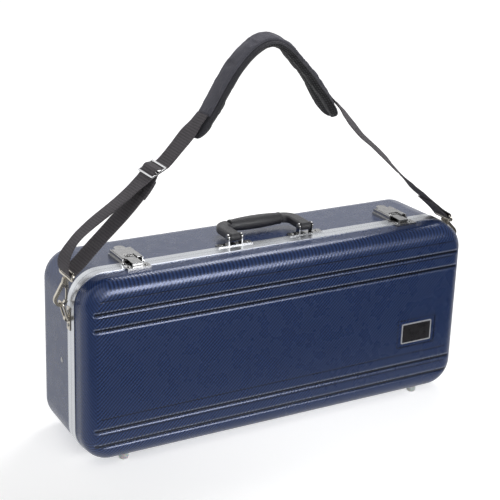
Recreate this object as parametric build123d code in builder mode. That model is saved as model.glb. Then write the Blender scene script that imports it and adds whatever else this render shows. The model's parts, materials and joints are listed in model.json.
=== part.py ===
"""Alto saxophone case: two moulded shells in an aluminium valance, hinged along the
bottom edge, with two draw latches, a folding handle and a padded shoulder strap.

Millimetres. X runs along the case, -Y is the lid's side, +Z is up. The case stands on
its hinge side. The two shells meet on a plane across Y, called the seam here, and
depths are measured from it: a negative depth is in the lid, a positive one in the base.
"""
import os
from math import acos, cos, hypot, radians, sin, tan

from build123d import *

os.makedirs("parts", exist_ok=True)

# Shells
case_length = 640
case_height = 276
corner_radius = 44
lid_depth = 48
base_depth = 128
lid_draft = 3
base_draft = 1.5
lid_edge_radius = 22
base_edge_radius = 28.5
shell_wall = 3

# Valance: one aluminium channel round each shell's rim
rail_width = 11.5
rail_proud = 0.6
rail_bite = 1.0
rail_web = 2.0
rail_inner_leg = 1.5
rail_inner_depth = 8

# Feet
foot_height = 8
foot_radius = 7.2
foot_dome = 4.5
foot_x = 253
lid_foot_depth = 27
base_foot_depth = 92

# Grooves and badge on the lid's face
groove_length = 611
groove_width = 4
groove_depth = 1.6
groove_edge = 0.6
groove_slope = 45
groove_spacing = 24
upper_groove_z = 226.5
lower_groove_z = 50.25
recess_length = 70
recess_height = 45
recess_depth = 0.8
recess_corner = 4
badge_x = 237.5
badge_z = 115
badge_length = 55.5
badge_height = 33
badge_corner = 2
badge_border = 1.6
badge_proud = 0.7
badge_sink = 0.3

# Hinges
hinge_pitch = 220
hinge_length = 50
hinge_leaf = 1.0
hinge_knuckle_radius = 2.5
hinge_pin_radius = 1.2
hinge_middle = 20
hinge_rise = 0.2

# Fits
running_gap = 0.05
side_gap = 0.3
lining_gap = 0.3

# Latches
latch_x = 225
latch_width = 32
latch_floor = 1.5
seat_depth = 6
latch_length = 47
latch_start = 1
latch_rail = 2
latch_rail_height = 5.6
latch_flange = 2
latch_flange_height = 2
lever_pivot_depth = 10
lever_pivot_rise = 3.9
lever_cover = 1.5
lever_cover_rise = 0.6
lever_front = 2.5
lever_length = 36
lever_skirt = 1.2
lever_skirt_drop = 2.4
lever_skirt_length = 30
tab_length = 12
tab_width = 16
pivot_pin_radius = 1.1
claw_pin_radius = 1.0
claw_pin_offset = 7
claw_pin_drop = 0.5
claw_width = 15
claw_thick = 1.5
claw_eye = 1.9
claw_slot_gap = 0.7
catch_width = 36
catch_near = 3
catch_far = 19
keeper_width = 14
keeper_near = 7
keeper_far = 9.8
keeper_height = 2.3
claw_lip = 1.5
claw_lip_drop = 2.2

# Handle
handle_x = 60
handle_depth = 12
bracket_length = 56
bracket_width = 12
bracket_thick = 1.5
ear_thick = 2
ear_radius = 5
handle_pin_radius = 2
handle_pin_rise = 10.4
handle_pin_head = 1.2
knuckle_radius = 6
arm_width = 19
arm_thick = 12
arm_reach = 46
arm_edge = 3.5
arm_inner_radius = 5
grip_length = 80
grip_radius = 10.5
grip_end_radius = 8.6
ferrule_width = 3
ferrule_radius = 9

# Rivets
rivet_radius = 2.6
rivet_height = 1.1
rivet_rounding = 0.88
bracket_rivet_x = 21
catch_rivet_x = 13
end_rivet_depth = 38
end_rivet_height = 133
end_rivet_radius = 4

# Strap anchors and rings on the case's ends
anchor_height = 34
anchor_thick = 1.2
anchor_z = 218
anchor_rivet_step = 10
sleeve_radius = 3.2
ring_wire = 1.5
ring_width = 15
ring_height = 27
ring_corner = 4
ring_lean = 16

# Snap hooks: they lean in over the case's corners, the right one further
left_hook_lean = 13
right_hook_lean = 28
hook_thick = 5
hook_bow_radius = 10.3
hook_eye_radius = 6.1
hook_bow_shift = 1
hook_bow_height = 4
hook_neck_radius = 2.2
hook_neck_height = 20
hook_top = 27
hook_rim = 1
boss_radius = 5
boss_height = 8
gate_low = 3.3
gate_high = 19.5
gate_pivot_x = -4
gate_pivot_y = 21.3
gate_length = 16.4
gate_slant = 11.4
gate_half = 1.3
gate_thick = 2.4
gate_pin_radius = 0.8
fork_gap = 0.2
fork_side = 0.9
eye_shank_radius = 2.2
eye_wire = 2
eye_width = 44
eye_height = 9
eye_corner = 4

# Shoulder strap
webbing_width = 38
webbing_thick = 1.6
arc_share = 0.45
slider_x = -196
slider_z = 417
slider_lean = 27.8
slider_length = 26
slider_width = 45.5
slider_bar = 2.6
slider_thick = 2
under_bar = 3.6
over_bar = 4.2
end_bar = 11.4
pad_width = 60
pad_crown = 4.5
pad_swell = 4.05
pad_side = 2
pad_channel = 12
pad_end_radius = 26
cover_width = 44
cover_rise = 12
cover_side = 5.5
cover_start = 27
cover_end = 24

# Padding
back_pad = 12
block_front = 8.5
end_block = 32
bottom_block = 19
top_block = 26
divider_height = 17
divider_front = 40
divider_low = 94
tray_length = 210
tray_wall = 6
bow_block = 77
bow_radius = 60
bow_z = 188
lid_pad_front = 10.5
lid_pad_round = 14

# The seam stands where the closed case, without its strap, is centred on Y
front_reach = lid_depth + badge_proud
seam_y = (front_reach - base_depth) / 2
mid_z = foot_height + case_height / 2
top_z = foot_height + case_height + rail_proud
bottom_z = foot_height - rail_proud
half_length = case_length / 2

base_plane = Plane(origin=(0, seam_y, mid_z), x_dir=(1, 0, 0), z_dir=(0, 1, 0))
lid_plane = Plane(origin=(0, seam_y, mid_z), x_dir=(1, 0, 0), z_dir=(0, -1, 0))


def save(piece, name):
    """Label a finished piece and write its STEP file."""
    piece.part.label = name
    export_step(piece.part, f"parts/{name}.step")


def tub(plane, shrink, depth, draft, edge):
    """A drafted, rounded block that grows away from the seam, its outline drawn in by shrink."""
    with BuildPart() as body:
        with BuildSketch(plane):
            RectangleRounded(
                case_length - 2 * shrink, case_height - 2 * shrink, corner_radius - shrink
            )
        extrude(amount=depth, taper=draft)
        end = body.faces().sort_by(Axis((0, 0, 0), plane.z_dir))[-1]
        fillet(end.edges(), edge)
    return body.part


def ring(plane, grow, shrink, depth):
    """A closed band round the seam's outline, from grow outside it to shrink inside it."""
    with BuildPart() as band:
        with BuildSketch(plane):
            RectangleRounded(
                case_length + 2 * grow, case_height + 2 * grow, corner_radius + grow
            )
            RectangleRounded(
                case_length - 2 * shrink,
                case_height - 2 * shrink,
                corner_radius - shrink,
                mode=Mode.SUBTRACT,
            )
        extrude(amount=depth)
    return band.part


base_outer = tub(base_plane, 0, base_depth, base_draft, base_edge_radius)
base_inner = tub(
    base_plane, shell_wall, base_depth - shell_wall, base_draft, base_edge_radius - shell_wall
)
lid_outer = tub(lid_plane, 0, lid_depth, lid_draft, lid_edge_radius)
lid_inner = tub(
    lid_plane, shell_wall, lid_depth - shell_wall, lid_draft, lid_edge_radius - shell_wall
)
band_block = ring(base_plane, rail_proud, corner_radius / 2, rail_width)
lid_band_block = ring(lid_plane, rail_proud, corner_radius / 2, rail_width)


def rail(plane):
    """A channel that covers a shell's rim: outer leg, web on the seam and inner leg."""
    with BuildPart() as channel:
        add(ring(plane, rail_proud, rail_bite, rail_width))
        add(ring(plane, rail_proud, shell_wall + rail_inner_leg, rail_web))
        add(ring(plane, -shell_wall, shell_wall + rail_inner_leg, rail_inner_depth))
    return channel


base_rail = rail(base_plane)
save(base_rail, "base_rail")
lid_rail = rail(lid_plane)
save(lid_rail, "lid_rail")

with BuildPart() as base_shell:
    add(base_outer)
    add(base_inner, mode=Mode.SUBTRACT)
    add(base_rail.part, mode=Mode.SUBTRACT)
save(base_shell, "base_shell")

# The lid's face has two pairs of grooves and a sunk place for the badge
face_y = seam_y - lid_depth
face_plane = Plane.XZ.offset(-face_y)
groove_centres = [
    pair_z + step * groove_spacing / 2
    for pair_z in (lower_groove_z, upper_groove_z)
    for step in (-1, 1)
]
with BuildPart() as lid_shell:
    add(lid_outer)
    add(lid_inner, mode=Mode.SUBTRACT)
    add(lid_rail.part, mode=Mode.SUBTRACT)
    with BuildSketch(face_plane):
        with Locations(*[(0, z) for z in groove_centres]):
            SlotOverall(groove_length, groove_width)
    extrude(amount=-groove_depth, mode=Mode.SUBTRACT)
    with BuildSketch(face_plane):
        with Locations(*[(0, z) for z in groove_centres]):
            SlotOverall(groove_length + 2 * groove_edge, groove_width + 2 * groove_edge)
    extrude(amount=-groove_edge, taper=groove_slope, mode=Mode.SUBTRACT)
    with BuildSketch(face_plane):
        with Locations((badge_x, badge_z)):
            RectangleRounded(recess_length, recess_height, recess_corner)
    extrude(amount=-recess_depth, mode=Mode.SUBTRACT)
save(lid_shell, "lid_shell")

badge_floor = face_plane.offset(-recess_depth)
badge_inner = (badge_length - 2 * badge_border, badge_height - 2 * badge_border)
with BuildPart() as badge_frame:
    with BuildSketch(badge_floor):
        with Locations((badge_x, badge_z)):
            RectangleRounded(badge_length, badge_height, badge_corner)
            Rectangle(*badge_inner, mode=Mode.SUBTRACT)
    extrude(amount=recess_depth + badge_proud)
save(badge_frame, "badge_frame")

with BuildPart() as badge_plate:
    with BuildSketch(badge_floor):
        with Locations((badge_x, badge_z)):
            Rectangle(*badge_inner)
    extrude(amount=recess_depth + badge_proud - badge_sink)
save(badge_plate, "badge_plate")


def feet(name, depth, skin):
    """Two domed glides under a shell, each cut to the shell's own surface."""
    flat = foot_radius - foot_dome
    bulge = foot_dome * sin(radians(45))
    with BuildPart() as glides:
        with BuildSketch(Plane.XZ.offset(-seam_y - depth)):
            with BuildLine():
                Line((0, 0), (flat, 0))
                ThreePointArc(
                    (flat, 0), (flat + bulge, foot_dome - bulge), (foot_radius, foot_dome)
                )
                Polyline(
                    (foot_radius, foot_dome),
                    (foot_radius, foot_height + foot_dome),
                    (0, foot_height + foot_dome),
                    (0, 0),
                )
            make_face()
        revolve(axis=Axis((0, seam_y + depth, 0), (0, 0, 1)))
        glide = glides.part
    with BuildPart() as pair:
        with Locations((-foot_x, 0, 0), (foot_x, 0, 0)):
            add(glide)
        add(skin, mode=Mode.SUBTRACT)
    save(pair, name)


feet("base_feet", base_foot_depth, base_outer)
feet("lid_feet", -lid_foot_depth, lid_outer)

# Hinges: the pin line lies on the seam, under the valance
hinge_z = bottom_z - hinge_rise - hinge_knuckle_radius
outer_knuckle = (hinge_length - hinge_middle) / 2
hinge_sites = (-hinge_pitch, 0, hinge_pitch)
knuckle_room = hinge_knuckle_radius + side_gap


def knuckles(x, length):
    """One rolled barrel on the pin line, centred on x."""
    with BuildPart(mode=Mode.PRIVATE) as barrel:
        with BuildSketch(Plane.YZ.offset(x - length / 2)):
            with Locations((seam_y, hinge_z)):
                Circle(hinge_knuckle_radius)
                Circle(hinge_pin_radius + running_gap, mode=Mode.SUBTRACT)
        extrude(amount=length)
    return barrel.part


def knuckle_bore(x):
    with BuildPart(mode=Mode.PRIVATE) as hole:
        with BuildSketch(Plane.YZ.offset(x - hinge_length / 2)):
            with Locations((seam_y, hinge_z)):
                Circle(hinge_pin_radius + running_gap)
        extrude(amount=hinge_length)
    return hole.part


def hinge_leaves(name, side, barrels, notches):
    """Leaves on one side of the seam; barrels and notches are (offset, length) pairs."""
    with BuildPart() as leaves:
        for x in hinge_sites:
            with BuildSketch(Plane.XY.offset(bottom_z - hinge_leaf)):
                with Locations((x, seam_y + side * rail_width / 2)):
                    Rectangle(hinge_length, rail_width)
                for shift, length in notches:
                    with Locations((x + shift, seam_y)):
                        Rectangle(length, 2 * knuckle_room, mode=Mode.SUBTRACT)
            extrude(amount=hinge_leaf)
            for shift, length in barrels:
                add(knuckles(x + shift, length))
            add(knuckle_bore(x), mode=Mode.SUBTRACT)
    save(leaves, name)


outer_shift = (hinge_middle + outer_knuckle) / 2
outer_barrels = [(-outer_shift, outer_knuckle), (outer_shift, outer_knuckle)]
lid_barrels = [(0, hinge_middle - 2 * side_gap)]
base_notches = [(0, hinge_middle + 2 * side_gap)]
lid_notches = [(shift, length + 2 * side_gap) for shift, length in outer_barrels]
hinge_leaves("base_hinge_leaves", 1, outer_barrels, base_notches)
hinge_leaves("lid_hinge_leaves", -1, lid_barrels, lid_notches)

with BuildPart() as hinge_pins:
    for x in hinge_sites:
        with BuildSketch(Plane.YZ.offset(x - hinge_length / 2)):
            with Locations((seam_y, hinge_z)):
                Circle(hinge_pin_radius)
        extrude(amount=hinge_length)
save(hinge_pins, "hinge_pins")

# Latches: plate, lever and claw on the base, catch on the lid
plate_z = top_z + latch_floor
pivot_z = plate_z + lever_pivot_rise
pivot_y = seam_y + lever_pivot_depth
claw_y = pivot_y + claw_pin_offset
claw_z = pivot_z - claw_pin_drop
lever_half = latch_width / 2 - latch_rail - side_gap


def box_between(x_pair, y_pair, z_pair):
    """A plain block from its low and high corners."""
    with BuildPart(mode=Mode.PRIVATE) as block:
        with BuildSketch(Plane.XY.offset(z_pair[0])):
            with Locations(((x_pair[0] + x_pair[1]) / 2, (y_pair[0] + y_pair[1]) / 2)):
                Rectangle(x_pair[1] - x_pair[0], y_pair[1] - y_pair[0])
        extrude(amount=z_pair[1] - z_pair[0])
    return block.part


def rod(centre, length, radius):
    """A round bar along X, centred on a point."""
    with BuildPart(mode=Mode.PRIVATE) as bar:
        with BuildSketch(Plane.YZ.offset(centre[0] - length / 2)):
            with Locations((centre[1], centre[2])):
                Circle(radius)
        extrude(amount=length)
    return bar.part


def latch_plate(x):
    """A plate with two side rails and low flanges, seated on the valance and the shell."""
    half = latch_width / 2
    back = latch_start + latch_length
    ys = (seam_y + latch_start, seam_y + back)
    rail_ys = (seam_y + lever_pivot_depth - latch_rail_height, seam_y + back)
    with BuildPart(mode=Mode.PRIVATE) as plate:
        add(box_between((x - half, x + half), ys, (top_z - seat_depth, plate_z)))
        for side in (-1, 1):
            inner = x + side * (half - latch_rail)
            outer = x + side * half
            lip = x + side * (half + latch_flange)
            rail_x = (min(inner, outer), max(inner, outer))
            lip_x = (min(outer, lip), max(outer, lip))
            add(box_between(rail_x, rail_ys, (plate_z, plate_z + latch_rail_height)))
            flange_z = (top_z - seat_depth, top_z + latch_flange_height)
            add(box_between(lip_x, rail_ys, flange_z))
        add(base_outer, mode=Mode.SUBTRACT)
        add(band_block, mode=Mode.SUBTRACT)
        add(rod((x, pivot_y, pivot_z), latch_width, pivot_pin_radius), mode=Mode.SUBTRACT)
    return plate.part


def latch_pivots(x):
    """Two stub pins through the plate's rails, clear of the claw between them."""
    length = latch_rail + side_gap + lever_skirt
    centre = latch_width / 2 - length / 2
    with BuildPart(mode=Mode.PRIVATE) as stubs:
        for side in (-1, 1):
            add(rod((x + side * centre, pivot_y, pivot_z), length, pivot_pin_radius))
    return stubs.part


def latch_lever(x):
    """A cover with side skirts, slotted in front for the claw, with a rounded finger tab."""
    cover_low = pivot_z + lever_cover_rise
    back = pivot_y + lever_length
    skirt_back = pivot_y + lever_skirt_length
    slot = claw_width / 2 + claw_slot_gap
    slot_back = claw_y + claw_eye + lever_cover
    with BuildPart(mode=Mode.PRIVATE) as lever:
        with BuildSketch(Plane.XY.offset(cover_low)):
            with Locations((x, (pivot_y - lever_front + back) / 2)):
                Rectangle(2 * lever_half, lever_front + lever_length)
            with Locations((x, back + tab_length / 2 - tab_width / 4)):
                RectangleRounded(tab_width, tab_length + tab_width / 2, tab_width / 2 - running_gap)
            with Locations((x, (pivot_y - lever_front + slot_back) / 2)):
                Rectangle(2 * slot, lever_front + slot_back - pivot_y, mode=Mode.SUBTRACT)
        extrude(amount=lever_cover)
        for side in (-1, 1):
            centre = x + side * (lever_half - lever_skirt / 2)
            with BuildSketch(Plane.YZ.offset(centre - lever_skirt / 2)):
                with Locations((pivot_y, pivot_z)):
                    Circle(lever_front)
                with BuildLine():
                    Polyline(
                        (pivot_y, cover_low),
                        (skirt_back, cover_low),
                        (skirt_back - lever_skirt_drop, pivot_z - lever_skirt_drop / 2),
                        (claw_y + claw_eye, pivot_z - lever_skirt_drop),
                        (pivot_y, pivot_z - lever_skirt_drop),
                        close=True,
                    )
                make_face()
            extrude(amount=lever_skirt)
        span = 2 * lever_half
        hole = pivot_pin_radius + running_gap
        add(rod((x, pivot_y, pivot_z), span, hole), mode=Mode.SUBTRACT)
        add(rod((x, claw_y, claw_z), span, claw_pin_radius), mode=Mode.SUBTRACT)
    return lever.part


def latch_claw(x):
    """A flat pull with an eye at the lever and a lip over the lid's keeper."""
    lip_back = seam_y - keeper_far - side_gap
    bar_low = claw_z - claw_thick / 2
    with BuildPart(mode=Mode.PRIVATE) as claw:
        with BuildSketch(Plane.YZ.offset(x - claw_width / 2)):
            with BuildLine():
                Polyline(
                    (claw_y, bar_low),
                    (claw_y, bar_low + claw_thick),
                    (lip_back - claw_lip, bar_low + claw_thick),
                    (lip_back - claw_lip, bar_low - claw_lip_drop),
                    (lip_back, bar_low - claw_lip_drop),
                    (lip_back, bar_low),
                    close=True,
                )
            make_face()
            with Locations((claw_y, claw_z)):
                Circle(claw_eye)
        extrude(amount=claw_width)
        hole = claw_pin_radius + running_gap
        add(rod((x, claw_y, claw_z), claw_width, hole), mode=Mode.SUBTRACT)
    return claw.part


def latch_catch(x):
    """The lid's plate with its keeper ridge, seated on the valance and the shell."""
    half = catch_width / 2
    near = seam_y - catch_near
    far = seam_y - catch_far
    keeper_y = (seam_y - keeper_far, seam_y - keeper_near)
    with BuildPart(mode=Mode.PRIVATE) as catch:
        add(box_between((x - half, x + half), (far, near), (top_z - seat_depth, plate_z)))
        keeper_x = (x - keeper_width / 2, x + keeper_width / 2)
        add(box_between(keeper_x, keeper_y, (plate_z, plate_z + keeper_height)))
        add(lid_outer, mode=Mode.SUBTRACT)
        add(lid_band_block, mode=Mode.SUBTRACT)
    return catch.part


def group(name, maker, places):
    """Identical pieces at several places share one node."""
    with BuildPart() as pieces:
        for place in places:
            add(maker(place))
    save(pieces, name)


latch_sites = (-latch_x, latch_x)
group("latch_plates", latch_plate, latch_sites)
group("latch_pivots", latch_pivots, latch_sites)
group("latch_catches", latch_catch, latch_sites)


def claw_pin(x):
    return rod((x, claw_y, claw_z), 2 * lever_half, claw_pin_radius)


for side_name, x in (("left", -latch_x), ("right", latch_x)):
    group(f"latch_lever_{side_name}", latch_lever, (x,))
    group(f"latch_claw_{side_name}", latch_claw, (x,))
    group(f"claw_pin_{side_name}", claw_pin, (x,))

# Handle: two clevis brackets, arms, grip and ferrules
handle_y = seam_y + handle_depth
handle_z = plate_z + handle_pin_rise
ear_inside = arm_width / 2 + side_gap
grip_y = handle_y + arm_reach
grip_half = grip_length / 2


def bracket(x):
    """A plate with two round-topped ears, seated on the valance and the shell."""
    plate_y = (handle_y - bracket_width / 2, handle_y + bracket_width / 2)
    length = bracket_length / 2
    with BuildPart(mode=Mode.PRIVATE) as clevis:
        add(box_between((x - length, x + length), plate_y, (top_z - seat_depth, plate_z)))
        for side in (-1, 1):
            start = x + side * (ear_inside + ear_thick / 2) - ear_thick / 2
            with BuildSketch(Plane.YZ.offset(start)):
                with Locations((handle_y, handle_z)):
                    Circle(ear_radius)
                with Locations((handle_y, (plate_z + handle_z) / 2)):
                    Rectangle(2 * ear_radius, handle_z - plate_z)
            extrude(amount=ear_thick)
        hole = handle_pin_radius
        add(rod((x, handle_y, handle_z), bracket_length, hole), mode=Mode.SUBTRACT)
        add(base_outer, mode=Mode.SUBTRACT)
        add(band_block, mode=Mode.SUBTRACT)
    return clevis.part


def handle_pin(x):
    """A pin through a bracket, with a round head outside each ear."""
    span = 2 * (ear_inside + ear_thick)
    head = handle_pin_radius + handle_pin_head
    with BuildPart(mode=Mode.PRIVATE) as pin:
        add(rod((x, handle_y, handle_z), span, handle_pin_radius))
        for side in (-1, 1):
            centre = x + side * (span + handle_pin_head) / 2
            add(rod((centre, handle_y, handle_z), handle_pin_head, head))
    return pin.part


group("handle_brackets", bracket, (-handle_x, handle_x))
group("handle_pins", handle_pin, (-handle_x, handle_x))

arm_start = grip_half + ferrule_width
arm_outer_radius = arm_inner_radius + arm_width


def handle_arm(side):
    """A padded arm: knuckle on the pin, run back, and a round corner into the grip."""
    inner = side * (handle_x - arm_width / 2)
    outer = side * (handle_x + arm_width / 2)
    start = side * arm_start
    near = grip_y - arm_width / 2
    far = grip_y + arm_width / 2
    outer_cut = arm_outer_radius * (1 - sin(radians(45)))
    inner_cut = arm_inner_radius * (1 - sin(radians(45)))
    with BuildPart(mode=Mode.PRIVATE) as arm:
        with BuildSketch(Plane.XY.offset(handle_z - arm_thick / 2)):
            with BuildLine():
                Line((start, far), (outer - side * arm_outer_radius, far))
                ThreePointArc(
                    (outer - side * arm_outer_radius, far),
                    (outer - side * outer_cut, far - outer_cut),
                    (outer, far - arm_outer_radius),
                )
                Polyline((outer, far - arm_outer_radius), (outer, handle_y), (inner, handle_y))
                Line((inner, handle_y), (inner, near - arm_inner_radius))
                ThreePointArc(
                    (inner, near - arm_inner_radius),
                    (inner - side * inner_cut, near - inner_cut),
                    (inner - side * arm_inner_radius, near),
                )
                Polyline((inner - side * arm_inner_radius, near), (start, near), (start, far))
            make_face()
        extrude(amount=arm_thick)
        add(rod((side * handle_x, handle_y, handle_z), arm_width, arm_thick / 2))
        hole = handle_pin_radius + running_gap
        add(rod((side * handle_x, handle_y, handle_z), arm_width, hole), mode=Mode.SUBTRACT)
        long_edges = arm.edges().filter_by(lambda e: e.length > arm_edge * 2).filter_by(
            lambda e: abs(abs(e.center().Z - handle_z) - arm_thick / 2) < running_gap
        )
        fillet(long_edges.filter_by(lambda e: e.center().Y > handle_y + running_gap), arm_edge)
    return arm.part


group("handle_arms", handle_arm, (-1, 1))

with BuildPart() as handle_grip:
    with BuildSketch(Plane.XY.offset(handle_z)):
        with BuildLine():
            ThreePointArc(
                (-grip_half, grip_y + grip_end_radius),
                (0, grip_y + grip_radius),
                (grip_half, grip_y + grip_end_radius),
            )
            Polyline(
                (grip_half, grip_y + grip_end_radius),
                (grip_half, grip_y),
                (-grip_half, grip_y),
                (-grip_half, grip_y + grip_end_radius),
            )
        make_face()
    revolve(axis=Axis((0, grip_y, handle_z), (1, 0, 0)))
save(handle_grip, "handle_grip")

with BuildPart() as handle_ferrules:
    for side in (-1, 1):
        centre = side * (grip_half + ferrule_width / 2)
        add(rod((centre, grip_y, handle_z), ferrule_width, ferrule_radius))
save(handle_ferrules, "handle_ferrules")


def rivet_head(place, direction, radius=rivet_radius):
    """A low dome standing on a surface at place, facing direction."""
    with BuildPart(mode=Mode.PRIVATE) as head:
        spot = Plane(origin=place, z_dir=direction)
        with BuildSketch(spot):
            Circle(radius)
        extrude(amount=rivet_height)
        rim = head.faces().sort_by(Axis(place, direction))[-1]
        fillet(rim.edges(), rivet_rounding)
    return head.part


def strip_rivets(side):
    """Rivets under the hinge leaves of one shell."""
    spots = []
    leaf_y = seam_y + side * (rail_width + knuckle_room) / 2
    for x in hinge_sites:
        for shift in (-outer_shift, 0, outer_shift):
            spots.append(((x + shift, leaf_y, bottom_z - hinge_leaf), (0, 0, -1)))
    return spots


anchor_y = seam_y + rail_width / 2
end_x = half_length + rail_proud
base_spots = strip_rivets(1)
for x in (-handle_x, handle_x):
    for side in (-1, 1):
        base_spots.append(((x + side * bracket_rivet_x, handle_y, plate_z), (0, 0, 1)))
for side in (-1, 1):
    for step in (-1, 1):
        place = (side * (end_x + anchor_thick), anchor_y, anchor_z + step * anchor_rivet_step)
        base_spots.append((place, (side, 0, 0)))
lid_spots = strip_rivets(-1)
for x in latch_sites:
    for side in (-1, 1):
        place = (x + side * catch_rivet_x, seam_y - (catch_near + catch_far) / 2, plate_z)
        lid_spots.append((place, (0, 0, 1)))

with BuildPart() as base_rivets:
    for place, direction in base_spots:
        add(rivet_head(place, direction))
save(base_rivets, "base_rivets")

with BuildPart() as lid_rivets:
    for place, direction in lid_spots:
        add(rivet_head(place, direction))
save(lid_rivets, "lid_rivets")

# One larger rivet stands in each end of the base shell
with BuildPart() as end_rivets:
    for side in (-1, 1):
        drop = end_rivet_depth * tan(radians(base_draft))
        place = (side * (half_length - drop - rivet_height / 2), seam_y + end_rivet_depth,
                 foot_height + end_rivet_height)
        add(rivet_head(place, (side, 0, 0), end_rivet_radius))
    add(base_outer, mode=Mode.SUBTRACT)
save(end_rivets, "end_rivets")

# Strap anchors: a plate with a sleeve that carries the ring's straight bar
ring_x = end_x + anchor_thick + sleeve_radius
sleeve_length = ring_width - 2 * ring_corner
hook_leans = {-1: left_hook_lean, 1: right_hook_lean}
side_names = {-1: "left", 1: "right"}


def anchor(side):
    """A riveted plate on the valance with a rolled sleeve across it."""
    plate_x = sorted((side * end_x, side * (end_x + anchor_thick)))
    web_x = sorted((side * end_x, side * ring_x))
    plate_half = rail_width / 2 - side_gap
    plate_y = (anchor_y - plate_half, anchor_y + plate_half)
    plate_z_pair = (anchor_z - anchor_height / 2, anchor_z + anchor_height / 2)
    sleeve_y = (anchor_y - sleeve_length / 2, anchor_y + sleeve_length / 2)
    with BuildPart(mode=Mode.PRIVATE) as piece:
        add(box_between(plate_x, plate_y, plate_z_pair))
        add(box_between(web_x, sleeve_y, (anchor_z - sleeve_radius, anchor_z + sleeve_radius)))
        with BuildSketch(Plane.XZ.offset(-sleeve_y[1])):
            with Locations((side * ring_x, anchor_z)):
                Circle(sleeve_radius)
        extrude(amount=sleeve_length)
        with BuildSketch(Plane.XZ.offset(-sleeve_y[1])):
            with Locations((side * ring_x, anchor_z)):
                Circle(ring_wire + running_gap)
        extrude(amount=sleeve_length, mode=Mode.SUBTRACT)
    return piece.part


group("strap_anchors", anchor, (-1, 1))


def wire_loop(plane, width, height, corner, radius):
    """A closed round-cornered wire that stands on a plane's x axis."""
    with BuildPart(mode=Mode.PRIVATE) as loop:
        with BuildLine(plane) as wire:
            FilletPolyline(
                (-width / 2, 0),
                (width / 2, 0),
                (width / 2, height),
                (-width / 2, height),
                radius=corner,
                close=True,
            )
        path = wire.wires()[0]
        with BuildSketch(Plane(origin=path @ 0, z_dir=path % 0)):
            Circle(radius)
        sweep(path=path)
    return loop.part


def strap_ring(side):
    """A closed wire ring whose lower bar lies in the anchor's sleeve."""
    lean = radians(ring_lean)
    plane = Plane(
        origin=(side * ring_x, anchor_y, anchor_z),
        x_dir=(0, 1, 0),
        z_dir=(cos(lean), 0, -side * sin(lean)),
    )
    return wire_loop(plane, ring_width, ring_height, ring_corner, ring_wire)


def hook_plane(side):
    """Origin where the ring's wire passes through; x points away from the case, y up."""
    lean = radians(hook_leans[side])
    reach = ring_x + ring_height * sin(radians(ring_lean))
    height = anchor_z + ring_height * cos(radians(ring_lean))
    return Plane(
        origin=(side * reach, anchor_y, height),
        x_dir=(side * cos(lean), 0, sin(lean)),
        z_dir=(0, -side, 0),
    )


def hook_body(side):
    """A cast hook, open on the case's side for the gate, with a boss on top."""
    plane = hook_plane(side)
    top_plane = Plane(origin=plane.from_local_coords((0, hook_top - hook_rim, 0)), z_dir=plane.y_dir)
    with BuildPart(mode=Mode.PRIVATE) as body:
        with BuildSketch(plane.offset(-hook_thick / 2)):
            with BuildSketch(mode=Mode.PRIVATE) as outline:
                with Locations((hook_bow_shift, hook_bow_height)):
                    Circle(hook_bow_radius)
                with Locations((0, hook_top - hook_rim)):
                    Rectangle(2 * boss_radius, 2 * hook_rim)
                make_hull()
            with BuildSketch(mode=Mode.PRIVATE) as opening:
                with Locations((hook_bow_shift, hook_bow_height)):
                    Circle(hook_eye_radius)
                with Locations((0, hook_neck_height)):
                    Circle(hook_neck_radius)
                make_hull()
            add(outline.sketch)
            add(opening.sketch, mode=Mode.SUBTRACT)
            with Locations((-hook_bow_radius, (gate_low + gate_high) / 2)):
                Rectangle(2 * (hook_bow_radius - hook_rim), gate_high - gate_low, mode=Mode.SUBTRACT)
        extrude(amount=hook_thick)
        fork_half = gate_thick / 2 + fork_gap
        fork_width = hook_bow_radius + gate_pivot_x + gate_half + fork_side
        fork_height = gate_pivot_y + 2 * gate_half - gate_high
        with BuildSketch(plane.offset(-fork_half)):
            with Locations((-hook_bow_radius + fork_width / 2, gate_high + fork_height / 2)):
                Rectangle(fork_width, fork_height)
        extrude(amount=2 * fork_half, mode=Mode.SUBTRACT)
        with BuildSketch(top_plane):
            Circle(boss_radius)
        extrude(amount=boss_height + hook_rim)
        with BuildSketch(top_plane):
            Circle(eye_shank_radius + running_gap)
        extrude(amount=boss_height + hook_rim, mode=Mode.SUBTRACT)
        with BuildSketch(plane.offset(-hook_thick / 2)):
            with Locations((gate_pivot_x, gate_pivot_y)):
                Circle(gate_pin_radius)
        extrude(amount=hook_thick, mode=Mode.SUBTRACT)
    return body.part


def hook_pin(side):
    with BuildPart(mode=Mode.PRIVATE) as pin:
        with BuildSketch(hook_plane(side).offset(-hook_thick / 2)):
            with Locations((gate_pivot_x, gate_pivot_y)):
                Circle(gate_pin_radius)
        extrude(amount=hook_thick)
    return pin.part


def hook_gate(side):
    """A flat gate that swings in from its pin, closing the hook's open side."""
    plane = hook_plane(side)
    tip = (
        gate_pivot_x - gate_length * sin(radians(gate_slant)),
        gate_pivot_y - gate_length * cos(radians(gate_slant)),
    )
    with BuildPart(mode=Mode.PRIVATE) as gate:
        with BuildSketch(plane.offset(-gate_thick / 2)):
            with Locations((gate_pivot_x, gate_pivot_y), tip):
                Circle(gate_half)
            make_hull()
            with Locations((gate_pivot_x, gate_pivot_y)):
                Circle(gate_pin_radius + running_gap, mode=Mode.SUBTRACT)
        extrude(amount=gate_thick)
    return gate.part


eye_base = hook_top + boss_height + side_gap + eye_wire


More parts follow.
